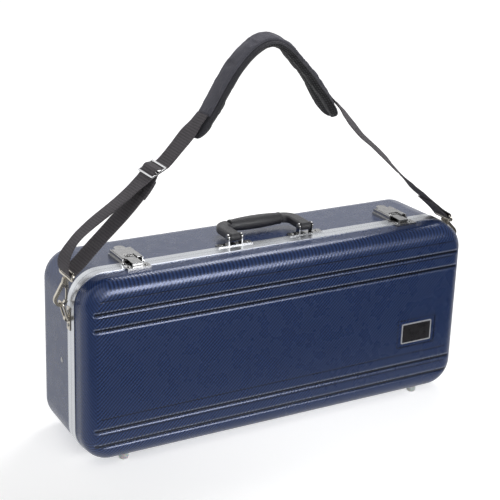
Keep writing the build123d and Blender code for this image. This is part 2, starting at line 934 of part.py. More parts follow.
def strap_eye(side):
    """The swivel's wide wire eye on its shank; the webbing folds round its upper bar."""
    plane = hook_plane(side)
    up = plane.y_dir
    eye_plane = Plane(
        origin=plane.from_local_coords((0, eye_base, 0)),
        x_dir=(0, 1, 0),
        z_dir=(up.Z, 0, -up.X),
    )
    shank = Plane(origin=plane.from_local_coords((0, hook_top + side_gap, 0)), z_dir=up)
    with BuildPart(mode=Mode.PRIVATE) as eye:
        add(wire_loop(eye_plane, eye_width, eye_height, eye_corner, eye_wire))
        with BuildSketch(shank):
            Circle(eye_shank_radius)
        extrude(amount=eye_base - hook_top - side_gap)
    return eye.part


for side in (-1, 1):
    group(f"strap_ring_{side_names[side]}", strap_ring, (side,))
    group(f"snap_hook_{side_names[side]}", hook_body, (side,))
    group(f"gate_pin_{side_names[side]}", hook_pin, (side,))
    group(f"snap_gate_{side_names[side]}", hook_gate, (side,))
group("strap_eyes", strap_eye, (-1, 1))

# The strap's route on its middle plane, as (x, z)
slider_cos = cos(radians(slider_lean))
slider_sin = sin(radians(slider_lean))


def at_slider(along, out):
    """A point in the slider's own directions."""
    return (
        slider_x + along * slider_cos - out * slider_sin,
        slider_z + along * slider_sin + out * slider_cos,
    )


def at_eye(side, along, out, lean):
    """A point round an eye's upper bar, along a strand that falls at an angle."""
    spot = hook_plane(side).from_local_coords((0, eye_base + eye_height, 0))
    return (
        spot.X + along * cos(radians(lean)) + out * sin(radians(lean)),
        spot.Z - along * sin(radians(lean)) + out * cos(radians(lean)),
    )


left_route = [
    (-119.3, 487.6),
    (-141.5, 462.8),
    (-160.5, 442.2),
    (-174.5, 427.5),
    at_slider(end_bar, -under_bar),
    at_slider(0, over_bar),
    at_slider(-end_bar, -under_bar),
    (-218.5, 398),
    (-234, 385.5),
    (-259, 368.2),
    (-288.5, 349.5),
    (-313.5, 330),
    (-328.6, 304.5),
    (-327.6, 286.5),
    (-321.8, 283.6),
    (-309.3, 292.8),
    (-284.1, 318),
    (-249.9, 349.2),
    (-227.5, 370.7),
    (-211, 388.7),
    (-200, 404.4),
    at_slider(-1.5, -2.1),
]
right_fall = 38.7
right_route = [
    (88, 495.3),
    (116.3, 462.1),
    (139.3, 437),
    (166.2, 412.5),
    (192, 390.4),
    (213.7, 369.4),
    (240.1, 345.4),
    at_eye(1, -57.8, 0.9, right_fall),
    at_eye(1, -30, 1.3, right_fall),
    at_eye(1, -12, 1.4, right_fall),
    at_eye(1, 2, 4.3, right_fall),
    at_eye(1, 5, 0, right_fall),
    at_eye(1, 2, -4.3, right_fall),
    at_eye(1, -12, -1.4, right_fall),
    at_eye(1, -44, -1.1, right_fall),
]
pad_route = [
    (-129.4, 462.2),
    (-107, 492.5),
    (-85.5, 532.5),
    (-56, 568.5),
    (-24, 587.5),
    (5, 579),
    (28, 555),
    (57.7, 520.5),
    (96.5, 471.5),
]


def unit(start, end):
    length = hypot(end[0] - start[0], end[1] - start[1])
    return (end[0] - start[0]) / length, (end[1] - start[1]) / length, length


def to_space(x, z):
    """A point of the strap's middle plane."""
    return (x, anchor_y, z)


def route_edges(route, name=""):
    """Straight runs joined by tangent arcs, each as large as its shorter run allows."""
    edges = []
    radii = []
    here = route[0]
    for before, corner, after in zip(route, route[1:], route[2:]):
        in_x, in_z, in_run = unit(before, corner)
        out_x, out_z, out_run = unit(corner, after)
        half = acos(max(-1, min(1, in_x * out_x + in_z * out_z))) / 2
        reach = arc_share * min(in_run, out_run)
        radius = reach / tan(half)
        cut = radius / cos(half) - radius
        mid_x, mid_z, _ = unit((in_x, in_z), (out_x, out_z))
        start = (corner[0] - in_x * reach, corner[1] - in_z * reach)
        middle = (corner[0] + mid_x * cut, corner[1] + mid_z * cut)
        end = (corner[0] + out_x * reach, corner[1] + out_z * reach)
        edges.append(Edge.make_line(to_space(*here), to_space(*start)))
        edges.append(
            Edge.make_three_point_arc(to_space(*start), to_space(*middle), to_space(*end))
        )
        radii.append(round(radius, 1))
        here = end
    edges.append(Edge.make_line(to_space(*here), to_space(*route[-1])))
    if name:
        print(name, "arc radii", radii, "length", round(sum(e.length for e in edges), 1))
    return edges


def webbing(name, route):
    """A flat strip swept along its route; its volume is checked against its length."""
    path = Wire(route_edges(route, name))
    with BuildPart() as strip:
        with BuildSketch(Plane(origin=path @ 0, x_dir=(0, 1, 0), z_dir=path % 0)):
            Rectangle(webbing_width, webbing_thick)
        sweep(path=path)
    plain = path.length * webbing_width * webbing_thick
    print(name, "volume over section times length", round(strip.part.volume / plain, 4))
    save(strip, name)


webbing("strap_left", left_route)
webbing("strap_right", right_route)

slider_plane = Plane(
    origin=(slider_x, anchor_y, slider_z),
    x_dir=(slider_cos, 0, slider_sin),
    z_dir=(-slider_sin, 0, slider_cos),
)
with BuildPart() as strap_slider:
    with BuildSketch(slider_plane.offset(-slider_thick / 2)):
        RectangleRounded(slider_length, slider_width, slider_bar)
        window = (slider_length - 3 * slider_bar) / 2
        for side in (-1, 1):
            with Locations((side * (window + slider_bar) / 2, 0)):
                Rectangle(window, slider_width - 2 * slider_bar, mode=Mode.SUBTRACT)
    extrude(amount=slider_thick)
save(strap_slider, "strap_slider")


def pad_section(path):
    """The cushion's crowned top, drawn-in sides and shallow channel underneath."""
    half = pad_width / 2
    with BuildSketch(Plane(origin=path @ 0, x_dir=(0, 1, 0), z_dir=path % 0)) as section:
        with BuildLine():
            ThreePointArc((-half, pad_side), (0, pad_crown), (half, pad_side))
            Line((half, pad_side), (half, -pad_side))
            ThreePointArc(
                (half, -pad_side),
                ((half + pad_channel) / 2, -pad_swell),
                (pad_channel, -pad_crown),
            )
            ThreePointArc((pad_channel, -pad_crown), (0, -pad_side), (-pad_channel, -pad_crown))
            ThreePointArc(
                (-pad_channel, -pad_crown),
                (-(half + pad_channel) / 2, -pad_swell),
                (-half, -pad_side),
            )
            Line((-half, -pad_side), (-half, pad_side))
        make_face()
    return section.sketch


pad_path = Wire(route_edges(pad_route, "pad"))
with BuildPart() as pad_cushion:
    sweep(sections=pad_section(pad_path), path=pad_path)
    for spot, inward in ((pad_path @ 0, pad_path % 0), (pad_path @ 1, pad_path % 1 * -1)):
        face = Plane(origin=spot, x_dir=(0, 1, 0), z_dir=Vector(0, 1, 0).cross(inward))
        reach = (pad_end_radius if (face.y_dir - inward).length < 1 else -pad_end_radius)
        with BuildSketch(face.offset(-pad_width / 2)):
            with Locations((0, reach / 2)):
                Rectangle(pad_width + 2, abs(reach))
            with Locations((0, reach)):
                Ellipse(pad_width / 2, pad_end_radius, mode=Mode.SUBTRACT)
        extrude(amount=pad_width, mode=Mode.SUBTRACT)
save(pad_cushion, "pad_cushion")


half_cover = cover_width / 2
cover_low = pad_side + (pad_crown - pad_side) * (1 - (cover_width / pad_width) ** 2) + lining_gap
with BuildPart() as pad_cover:
    with BuildSketch(Plane(origin=pad_path @ 0, x_dir=(0, 1, 0), z_dir=pad_path % 0)):
        with BuildLine():
            ThreePointArc((-half_cover, cover_low), (0, pad_crown + lining_gap), (half_cover, cover_low))
            Line((half_cover, cover_low), (half_cover, cover_side))
            ThreePointArc((half_cover, cover_side), (0, cover_rise), (-half_cover, cover_side))
            Line((-half_cover, cover_side), (-half_cover, cover_low))
        make_face()
    sweep(path=pad_path)
    for spot, inward, length in (
        (pad_path @ 0, pad_path % 0, cover_start),
        (pad_path @ 1, pad_path % 1 * -1, cover_end),
    ):
        with BuildSketch(Plane(origin=spot, x_dir=(0, 1, 0), z_dir=inward)):
            Rectangle(pad_width, 3 * cover_rise)
        extrude(amount=length, mode=Mode.SUBTRACT)
save(pad_cover, "pad_cover")

# Padding inside the shells: every block is cut by the shell's inside, drawn in a little
lining = tub(
    base_plane,
    shell_wall + lining_gap,
    base_depth - shell_wall - lining_gap,
    base_draft,
    base_edge_radius - shell_wall,
)
pad_front = seam_y + block_front
pad_back = seam_y + base_depth - shell_wall - lining_gap
block_back = pad_back - back_pad - lining_gap
low_z = foot_height
high_z = foot_height + case_height
left_face = -half_length + end_block + shell_wall
right_face = half_length - shell_wall - bow_block
bottom_face = foot_height + shell_wall + bottom_block
top_face = high_z - shell_wall - top_block
divider_z = (foot_height + divider_low, foot_height + divider_low + divider_height)
tray_x = (left_face + lining_gap, left_face + tray_length)
tray_z = (divider_z[1] + lining_gap, high_z)


def padding(name, x_pair, y_pair, z_pair, *cuts):
    """A block cut by the shell's inside and by any hollows."""
    with BuildPart() as block:
        add(box_between(x_pair, y_pair, z_pair))
        add(lining, mode=Mode.INTERSECT)
        for cut in cuts:
            add(cut, mode=Mode.SUBTRACT)
    save(block, name)


all_x = (-half_length, half_length)
all_z = (low_z, high_z)
blocks_y = (pad_front, block_back)
with BuildPart(mode=Mode.PRIVATE) as bow:
    with BuildSketch(Plane.XZ.offset(-pad_front)):
        with Locations((right_face, bow_z)):
            Circle(bow_radius)
    extrude(amount=pad_front - block_back)
padding("back_padding", all_x, (block_back + lining_gap, pad_back), all_z)
padding("left_block", (-half_length, left_face), blocks_y, all_z)
padding("right_block", (right_face, half_length), blocks_y, all_z, bow.part)
middle_x = (left_face + lining_gap, right_face - lining_gap)
padding("bottom_block", middle_x, blocks_y, (low_z, bottom_face))
padding("top_block", (tray_x[1] + lining_gap, middle_x[1]), blocks_y, (top_face, high_z))
padding("divider", middle_x, (seam_y + divider_front, block_back), divider_z)
hollow = box_between(
    (tray_x[0] + tray_wall, tray_x[1] - tray_wall),
    (pad_front, block_back - tray_wall),
    (tray_z[0] + tray_wall, high_z - shell_wall - 2 * tray_wall),
)
padding("accessory_tray", tray_x, blocks_y, tray_z, hollow)

with BuildPart() as lid_padding:
    add(
        tub(
            lid_plane,
            shell_wall + rail_inner_leg + 2 * lining_gap,
            lid_depth - shell_wall - lining_gap,
            lid_draft,
            lid_edge_radius - shell_wall,
        )
    )
    slab_y = (seam_y - lid_depth, seam_y - lid_pad_front)
    add(box_between(all_x, slab_y, all_z), mode=Mode.INTERSECT)
    crown = lid_padding.faces().sort_by(Axis.Y)[-1]
    fillet(crown.edges(), lid_pad_round)
save(lid_padding, "lid_padding")

for side in (-1, 1):
    plane = hook_plane(side)
    spots = {
        "gate pivot": plane.from_local_coords((gate_pivot_x, gate_pivot_y, 0)),
        "eye bar": plane.from_local_coords((0, eye_base + eye_height, 0)),
        "hook axis": plane.y_dir,
        "gate axis": plane.z_dir,
    }
    for label, spot in spots.items():
        print(side_names[side], label, [round(v, 4) for v in spot])
print("seam", seam_y, "hinge z", hinge_z, "pivot", pivot_y, pivot_z, "claw", claw_y, claw_z)
print("handle", handle_y, handle_z, "ring", ring_x, anchor_y, anchor_z)
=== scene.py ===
import json
from math import cos, pi, radians, sin

import bmesh
import bpy
import numpy as np
from mathutils import Matrix, Vector


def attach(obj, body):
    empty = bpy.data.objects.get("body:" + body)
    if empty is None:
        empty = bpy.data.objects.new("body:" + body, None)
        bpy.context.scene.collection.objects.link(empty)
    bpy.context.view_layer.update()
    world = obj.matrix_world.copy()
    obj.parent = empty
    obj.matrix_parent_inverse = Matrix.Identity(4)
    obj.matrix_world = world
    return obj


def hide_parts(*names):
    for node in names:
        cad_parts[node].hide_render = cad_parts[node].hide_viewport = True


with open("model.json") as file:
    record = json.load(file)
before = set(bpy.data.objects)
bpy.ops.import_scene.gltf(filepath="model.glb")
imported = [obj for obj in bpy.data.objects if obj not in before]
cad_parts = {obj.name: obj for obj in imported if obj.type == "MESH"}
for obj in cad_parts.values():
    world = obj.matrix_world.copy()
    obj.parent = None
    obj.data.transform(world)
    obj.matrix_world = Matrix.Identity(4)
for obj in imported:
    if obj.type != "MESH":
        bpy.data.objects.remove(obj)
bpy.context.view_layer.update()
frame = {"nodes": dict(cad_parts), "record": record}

# Looks of the alto saxophone case: camera, shoulder strap and pad, lining, materials, floor and light.
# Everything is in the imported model's frame: X along the case, -Y on the lid's side, Z up.
# The dictionaries give sizes in mm, and mm turns them into metres.
nodes = frame["nodes"]
scene = bpy.context.scene
mm = 0.001

# Camera: fitted to the photograph's edges, with the floor's roll
cameraFit = {
    "azimuth": -30.225, "elevation": 20.252, "roll": 2.071,
    "target": (-39.885, -39.65, 276.954), "distance": 1985.28,
    "focalPixels": 1365.067, "imagePixels": 500, "sensor": 36, "clip": (0.05, 50),
}


# Looks along the direction that azimuth and elevation give, then turns the picture by the roll
def placeCamera(fit):
    a, e, r = (radians(fit[k]) for k in ("azimuth", "elevation", "roll"))
    back = Vector((sin(a) * cos(e), -cos(a) * cos(e), sin(e)))
    level = (-back).cross(Vector((0, 0, 1))).normalized()
    top = level.cross(-back)
    right = level * cos(r) + top * sin(r)
    up = top * cos(r) - level * sin(r)
    data = bpy.data.cameras.new("camera")
    data.sensor_width = fit["sensor"]
    data.lens = fit["focalPixels"] * fit["sensor"] / fit["imagePixels"]
    data.clip_start, data.clip_end = fit["clip"]
    camera = bpy.data.objects.new("camera", data)
    matrix = Matrix((right, up, back)).transposed().to_4x4()
    matrix.translation = Vector(fit["target"]) * mm + back * fit["distance"] * mm
    camera.matrix_world = matrix
    scene.collection.objects.link(camera)
    scene.camera = camera


placeCamera(cameraFit)
print("camera placed")


# A new object at the origin; uv has one (u, v) row for each corner of each face
def meshObject(name, vertices, faces, uv=None, smooth=True):
    mesh = bpy.data.meshes.new(name)
    mesh.from_pydata([tuple(v) for v in vertices], [], [tuple(f) for f in faces])
    if uv is not None:
        layer = mesh.uv_layers.new(name="surface")
        layer.data.foreach_set("uv", np.asarray(uv, np.float32).ravel())
    mesh.polygons.foreach_set("use_smooth", [smooth] * len(mesh.polygons))
    made = bpy.data.objects.new(name, mesh)
    scene.collection.objects.link(made)
    return made


# Joins closed sections, one row each, into a skin; the map is length along by length around
def loft(name, sections, lengths, arounds, caps=True):
    rows, columns = sections.shape[:2]
    index = np.arange(rows * columns).reshape(rows, columns)
    wrapped = np.hstack([index, index[:, :1]])
    quads = np.stack(
        [wrapped[:-1, :-1], wrapped[:-1, 1:], wrapped[1:, 1:], wrapped[1:, :-1]], -1
    ).reshape(-1, 4)
    u = np.repeat(np.asarray(lengths)[:, None], columns + 1, 1)
    v = np.repeat(np.asarray(arounds)[None, :], rows, 0)
    grid = np.stack([u, v], -1)
    uv = np.stack([grid[:-1, :-1], grid[:-1, 1:], grid[1:, 1:], grid[1:, :-1]], 2).reshape(-1, 2)
    faces = quads.tolist()
    uv = uv.tolist()
    if caps:
        faces.append(index[0][::-1].tolist())
        uv += [[lengths[0], a] for a in arounds[:-1]][::-1]
        faces.append(index[-1].tolist())
        uv += [[lengths[-1], a] for a in arounds[:-1]]
    return meshObject(name, sections.reshape(-1, 3), faces, uv)


# Shoulder strap: routes on its middle plane as (x, z), the solid model's with small moves to the photograph
strapY = -33.9
slider = {"x": -196, "z": 417, "lean": 27.8}
eye = {"x": 310.7057, "z": 284.8345, "fall": 38.7}


# A point given along the slider and out of it, on axes turned up by its lean
def atSlider(along, out):
    a = radians(slider["lean"])
    return (slider["x"] + along * cos(a) - out * sin(a), slider["z"] + along * sin(a) + out * cos(a))


# A point given along the right eye and out of it, on axes turned down by its fall
def atEye(along, out):
    a = radians(eye["fall"])
    return (eye["x"] + along * cos(a) + out * sin(a), eye["z"] - along * sin(a) + out * cos(a))


leftRoute = [
    (-119.3, 487.6), (-141.5, 462.8), (-160.5, 442.2), (-174.5, 427.5),
    atSlider(11.4, -3.6), atSlider(0, 6.6), atSlider(-11.4, -3.6),
    (-218.5, 398), (-234, 385.5), (-259, 368.2), (-288.5, 349.5), (-313.5, 330),
    (-328.6, 304.5), (-327.6, 286.5), (-321.8, 283.6), (-309.3, 292.8),
    (-284.1, 318), (-249.9, 349.2), (-227.5, 370.7), (-211, 388.7), (-200, 404.4),
    atSlider(-1.5, -2.1),
]
rightRoute = [
    (69.5, 509), (80.5, 494.5), (96, 484.5), (116.3, 462.1), (139.3, 437), (166.2, 412.5), (192, 390.4),
    (213.7, 369.4), (240.1, 345.4), atEye(-57.8, 0.9), atEye(-30, 1.3), atEye(-12, 1.4),
    atEye(2, 4.3), atEye(5, 0), atEye(2, -4.3), atEye(-12, -1.4), atEye(-44, -1.1),
]
padRoute = [
    (-133.8, 455.2), (-107.5, 491.5), (-85.5, 531.5), (-56, 567.5), (-25, 586),
    (3, 577), (26, 553.5), (57.5, 519), (93.5, 464),
]


# The NURBS line whose control points are the route's, as points in metres
def smoothLine(route):
    curve = bpy.data.curves.new("route", "CURVE")
    curve.dimensions = "3D"
    curve.resolution_u = 32  # steps between two control points
    spline = curve.splines.new("NURBS")
    spline.points.add(len(route) - 1)
    for point, (x, z) in zip(spline.points, route):
        point.co = (x * mm, strapY * mm, z * mm, 1)
    spline.order_u = 3
    spline.use_endpoint_u = True
    holder = bpy.data.objects.new("route", curve)
    mesh = bpy.data.meshes.new_from_object(holder)
    points = np.array([v.co[:] for v in mesh.vertices])
    bpy.data.meshes.remove(mesh)
    bpy.data.objects.remove(holder)
    bpy.data.curves.remove(curve)
    return points


# The length from the first point to each point of a run: the sum of the steps so far
def runningLength(points):
    return np.concatenate([[0], np.cumsum(np.linalg.norm(np.diff(points, axis=0), axis=1))])


# The sum of the steps between a line's points, in metres
def lineLength(points):
    return float(np.linalg.norm(np.diff(points, axis=0), axis=1).sum())


# Rows of three values read off at places between the running lengths in total
def readOff(rows, total, places):
    return np.stack([np.interp(places, total, rows[:, k]) for k in range(3)], -1)


# Points, tangents and upward normals at lengths along a line, all in its X-Z plane
def alongLine(points, places):
    total = runningLength(points)
    spots = readOff(points, total, places)
    reach = 0.0006  # metres to either side for the tangent
    tangents = readOff(points, total, places + reach) - readOff(points, total, places - reach)
    tangents /= np.linalg.norm(tangents, axis=1)[:, None]
    normals = np.stack([-tangents[:, 2], 0 * tangents[:, 0], tangents[:, 0]], -1)
    return spots, tangents, normals


# Cup and ripple are each a height, a length over which the wave turns by one radian, and a start.
# Ease is the length over which both come back past a place where the webbing is held.
webbing = {
    "width": 38, "thickness": 1.6, "step": 1.6, "across": 15, "edge": 0.5,
    "ease": 22, "cup": (0.5, 41, 0.6), "ripple": (0.22, 13, 1.1),
}


# A flat band with rounded edges as (across, out) in mm, and the length round it
def webbingSection():
    half, thick = webbing["width"] / 2, webbing["thickness"] / 2
    flat = np.linspace(-half + webbing["edge"], half - webbing["edge"], webbing["across"])
    top = [(w, thick) for w in flat]
    side = [(half, thick * 0.5), (half, -thick * 0.5)]
    loop = top + side + [(w, -thick) for w in flat[::-1]] + [(-w, -n) for w, n in side]
    loop = np.array(loop)
    return loop, runningLength(np.vstack([loop, loop[:1]]))


# Spots with their directions across and out, turned about the line by eased (mm, degrees) pairs
def framesAlong(line, places, turns):
    spots, tangents, normals = alongLine(line, places * mm)
    where, angle = np.array(turns, float).T
    i = np.clip(np.searchsorted(where, places) - 1, 0, len(where) - 2)
    f = np.clip((places - where[i]) / (where[i + 1] - where[i]), 0, 1)
    turn = np.radians(angle[i] + (angle[i + 1] - angle[i]) * f * f * (3 - 2 * f))[:, None]
    side = np.array([[0.0, 1.0, 0.0]])
    wide = np.cos(turn) * side + np.sin(turn) * normals
    up = np.cos(turn) * normals - np.sin(turn) * side
    return spots, wide, up


# Points at across and out, in mm, from each spot of a line
def skin(frames, across, out):
    spots, wide, up = frames
    across, out = np.broadcast_arrays(across, out)
    aside = wide[:, None, :] * (across * mm)[..., None]
    above = up[:, None, :] * (out * mm)[..., None]
    return spots[:, None, :] + aside + above


# The band swept along its line. It cups as a parabola across and ripples as a cubic, both in a sine along
# the line, but not where calm says it is held.
def webbingStrip(name, line, calm, turns, first=0.0, last=None, drop=0.0):
    last = lineLength(line) / mm if last is None else last
    places = np.linspace(first, last, int((last - first) / webbing["step"]))
    frames = framesAlong(line, places, turns)
    loop, around = webbingSection()
    half = webbing["width"] / 2
    held = np.ones(len(places))
    for centre, reach in calm:
        held *= np.clip((np.abs(places - centre) - reach) / webbing["ease"], 0, 1)
    waves = (webbing["cup"], webbing["ripple"])
    cup, ripple = (held * height * np.sin(places / radian + begin) for height, radian, begin in waves)
    w = loop[None, :, 0]
    out = loop[None, :, 1] + cup[:, None] * (1 - (w / half) ** 2) + ripple[:, None] * (w / half) ** 3
    return loft(name, skin(frames, w, out - drop), places, around), frames[0][::4]


# Each stitch is four rings of points, placed by stations (shares of half its length) and sized by swell.
# Lifts are heights over the cloth, and seamSteps the points on each side of a sewn box.
thread = {
    "length": 2.3, "pitch": 3.8, "width": 0.7, "proud": 0.32, "stations": (-1, -0.75, 0.75, 1),
    "swell": (0.35, 1, 1, 0.35), "sides": 6, "lift": 0.05, "padLift": 0.1, "seamSteps": 14,
}


# Threads laid end to end on each run, a (points, normals) pair; one small lozenge for each stitch
def stitchRuns(name, runs):
    centres, heads, ups = [], [], []
    for points, normals in runs:
        total = runningLength(points)
        count = max(int(total[-1] / (thread["pitch"] * mm)), 1)
        spots = (np.arange(count) + 0.5) * total[-1] / count
        head = readOff(points, total, spots + 0.0005) - readOff(points, total, spots - 0.0005)
        centres.append(readOff(points, total, spots))
        heads.append(head / np.linalg.norm(head, axis=1)[:, None])
        up = readOff(normals, total, spots)
        ups.append(up / np.linalg.norm(up, axis=1)[:, None])
    centre, head, up = (np.concatenate(rows)[:, None, None, :] for rows in (centres, heads, ups))
    side = np.cross(head, up)
    sides = thread["sides"]
    along = np.array(thread["stations"])[None, :, None, None] * thread["length"] / 2 * mm
    swell = np.array(thread["swell"])[None, :, None, None]
    turn = (np.arange(sides) * 2 * pi / sides)[None, None, :, None]
    ring = side * np.cos(turn) * thread["width"] / 2 * mm + up * np.sin(turn) * thread["proud"] * mm
    points = (centre + head * along + ring * swell).reshape(-1, 3)
    corner = np.arange(len(thread["stations"]) * sides).reshape(-1, sides)
    beside = np.roll(corner, -1, 1)
    quads = np.stack([corner[:-1], beside[:-1], beside[1:], corner[1:]], -1).reshape(-1, 4).tolist()
    ends = [corner[0][::-1].tolist(), corner[-1].tolist()]
    faces = [
        [start + i for i in face] for start in range(0, len(points), corner.size) for face in quads + ends
    ]
    made = meshObject(name, points, faces)
    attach(made, "base")
    return made


# A run of points over a strap through (place, across) corners, out mm from its middle
def seam(line, turns, corners, out):
    corners = np.array(corners, float)
    sides = [np.linspace(p, q, thread["seamSteps"])[:-1] for p, q in zip(corners[:-1], corners[1:])]
    steps = np.concatenate(sides + [corners[-1:]])
    spots, wide, up = framesAlong(line, steps[:, 0], turns)
    points = spots + wide * (steps[:, 1] * mm)[:, None] + up * (out * mm)
    return points, up * (1 if out > 0 else -1)


leftLine, rightLine, padLine = smoothLine(leftRoute), smoothLine(rightRoute), smoothLine(padRoute)
leftLength, rightLength, padLength = (lineLength(p) for p in (leftLine, rightLine, padLine))
print("strap lengths", leftLength, rightLength, padLength)


# The length along a line of its point nearest to (x, z), in mm
def nearest(line, x, z):
    distance = np.hypot(line[:, 0] - x * mm, line[:, 2] - z * mm)
    return runningLength(line)[int(distance.argmin())] / mm


# Twist about the line, as (length, degrees); calm is where the webbing is held, as (length, reach)
leftTurns = [
    (0, 8), (12, 7), (36, -2), (60, 0), (118, 0), (150, 7), (190, 8), (256, 10.5), (292, 0), (500, 0),
]
rightTurns = [
    (0, 4), (22, 3), (40, 15), (56, 24), (72, 27), (98, 26), (130, 20), (187, 20), (212, 15), (234, 7),
    (264, 0), (400, 0),
]
padTurns = [(0, -8), (140, -7), (215, 8), (270, 7), (318, 1), (360, 0)]

eyePlace = nearest(rightLine, *atEye(5, 0))
leftCalm = [
    (0, 12), (nearest(leftLine, *atSlider(0, 4.2)), 22), (nearest(leftLine, -321.8, 283.6), 26),
    (leftLength / mm, 22),
]
rightCalm = [(0, 32), (eyePlace, 62), (rightLength / mm, 30)]

leftStrap, leftPath = webbingStrip("webbing_left", leftLine, leftCalm, leftTurns)
rightStrap, rightPath = webbingStrip("webbing_right", rightLine, rightCalm, rightTurns)
for strap, node, route, length, path in (
    (leftStrap, "strap_left", leftRoute, leftLength, leftPath),
    (rightStrap, "strap_right", rightRoute, rightLength, rightPath),
):
    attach(strap, "base")
    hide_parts(node)

# The left strap's end is turned back under itself and sewn; each fold is sewn as a box with a cross.
# Left and sewn are lengths along the left strap, right is counted from the right eye to either side.
fold = {
    "left": (450, 479), "sewn": (453, 472), "calm": (465, 60), "right": (12, 38), "inset": 15, "drop": 1.75,
}
foldStrip = webbingStrip("strap_fold", leftLine, [fold["calm"]], leftTurns, *fold["left"], fold["drop"])[0]
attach(foldStrip, "base")


# A rectangle and its diagonals
def boxRuns(line, turns, first, last, out):
    w = fold["inset"]
    box = [(first, -w), (last, -w), (last, w), (first, w), (first, -w), (last, w)]
    return [seam(line, turns, box, out), seam(line, turns, [(last, -w), (first, w)], out)]


layer, lift = webbing["thickness"] / 2, thread["lift"]
near, far = fold["right"]
strapStitches = stitchRuns(
    "strap_stitches",
    boxRuns(leftLine, leftTurns, *fold["sewn"], -fold["drop"] - layer - lift)
    + boxRuns(leftLine, leftTurns, *fold["sewn"], layer + lift)
    + boxRuns(rightLine, rightTurns, eyePlace - far, eyePlace - near, layer + lift)
    + boxRuns(rightLine, rightTurns, eyePlace + near, eyePlace + far, layer + lift),
)
print("straps made")

# Shoulder pad: a foam cushion with rounded ends, under a sleeve that holds the webbing.
# Flange, lip and channel are shares of half its width. TipPower keeps the tips thicker than they are wide,
# and sidePower keeps the sides upright. Puff is the air pressure, the cloth's shrinkage (below zero it
# grows) and the furthest move in mm.
cushion = {
    "half": 28, "crown": 4.2, "side": 2.0, "sidePower": 6, "rim": 0.2, "under": 5.2,
    "tip": 25, "tipRows": 14, "tipPower": 0.55, "endGap": 0.05, "across": 24, "rows": 150, "seamColumn": 5,
    "flange": (0.74, 0.97), "roll": 1.0, "lip": 0.4, "channel": 0.34, "channelFoam": 0.25,
    "puff": (4.0, -0.025, 0.8),
}
# Mouth is the length over which the open ends come down, mouthFill the share of the height left there and
# the share added inside
sleeve = {
    "half": 20.4, "rise": 8.8, "side": 5.2, "start": 35, "end": 30, "seat": 0.3, "gap": 0.25, "hem": 0.6,
    "mouth": 24, "mouthFill": (0.8, 0.2), "across": 22, "rows": 128, "puff": (4.0, -0.03, 1.1),
}
puffFrames = 20


# A smooth step, f * f * (3 - 2 * f), of values clipped to 0 and 1
def eased(value):
    f = np.clip(value, 0, 1)
    return f * f * (3 - 2 * f)


# The length round one section, for the map
def aroundWidest(across, out):
    loop = np.stack([across, out], -1)
    return runningLength(np.vstack([loop, loop[:1]]))


# The width follows a circle's sine at each tip. Above, a parabola's crown and a squared sine for the rolled
# flange; below, two soft lips that smooth steps raise on either side of a channel; all thin at the tips.
def cushionSections(line, length):
    tip = cushion["tip"]
    ends = tip * (1 - np.cos(np.linspace(0, pi / 2, cushion["tipRows"])))
    middle = np.linspace(tip, length - tip, cushion["rows"] - 2 * cushion["tipRows"] + 2)[1:-1]
    places = np.concatenate([ends, middle, length - ends[::-1]])
    places[0], places[-1] = cushion["endGap"], length - cushion["endGap"]
    s = np.clip(np.minimum(places, length - places) / tip, 0, 1)
    half = cushion["half"] * np.sqrt(np.clip(1 - (1 - s) ** 2, 0, 1))
    q = np.sin(np.linspace(-pi / 2, pi / 2, cushion["across"]))
    f = np.abs(q)
    thin = (half / cushion["half"])[:, None] ** cushion["tipPower"]
    low, high = cushion["flange"]
    roll = np.sin(pi * np.clip((f - low) / (high - low), 0, 1)) ** 2 * cushion["roll"]
    edge = cushion["side"] * (1 - f ** cushion["sidePower"]) + cushion["rim"]
    top = (edge + (cushion["crown"] - cushion["side"]) * (1 - f**2) + roll) * thin
    foam = cushion["channelFoam"]
    lips = eased((1 - f) / cushion["lip"]) * (foam + (1 - foam) * eased(f / cushion["channel"]))
    below = -(edge + cushion["under"] * lips) * thin
    w = q[None, :] * half[:, None]
    across, out = np.hstack([w, w[:, ::-1]]), np.hstack([top, below[:, ::-1]])
    sections = skin(framesAlong(line, places, padTurns), across, out)
    widest = len(places) // 2
    return sections, places, aroundWidest(across[widest], out[widest])


# Half an ellipse over the cushion's top, lower by a sine at its open ends, where the webbing goes in
def sleeveSections(line, length):
    first, last = sleeve["start"], length - sleeve["end"]
    places = np.linspace(first, last, sleeve["rows"])
    q = np.sin(np.linspace(-pi / 2, pi / 2, sleeve["across"]))
    w = q * sleeve["half"]
    rise = cushion["crown"] - cushion["side"]
    low = cushion["side"] + sleeve["seat"] + rise * (1 - (w / cushion["half"]) ** 2) + sleeve["gap"]
    mouth = np.clip(np.minimum(places - first, last - places) / sleeve["mouth"], 0, 1)
    lowest, added = sleeve["mouthFill"]
    fill = lowest + added * np.sin(mouth * pi / 2)
    dome = sleeve["side"] + (sleeve["rise"] - sleeve["side"]) * np.sqrt(np.clip(1 - q**2, 0, 1))
    high = low[None, :] + (dome - low)[None, :] * fill[:, None]
    high[:, 0], high[:, -1] = low[0] + sleeve["hem"], low[-1] + sleeve["hem"]
    across = np.concatenate([w, w[::-1]])
    out = np.hstack([high, np.repeat(low[None, ::-1], len(places), 0)])
    sections = skin(framesAlong(line, places, padTurns), across, out)
    return sections, places, aroundWidest(across, out[len(places) // 2])


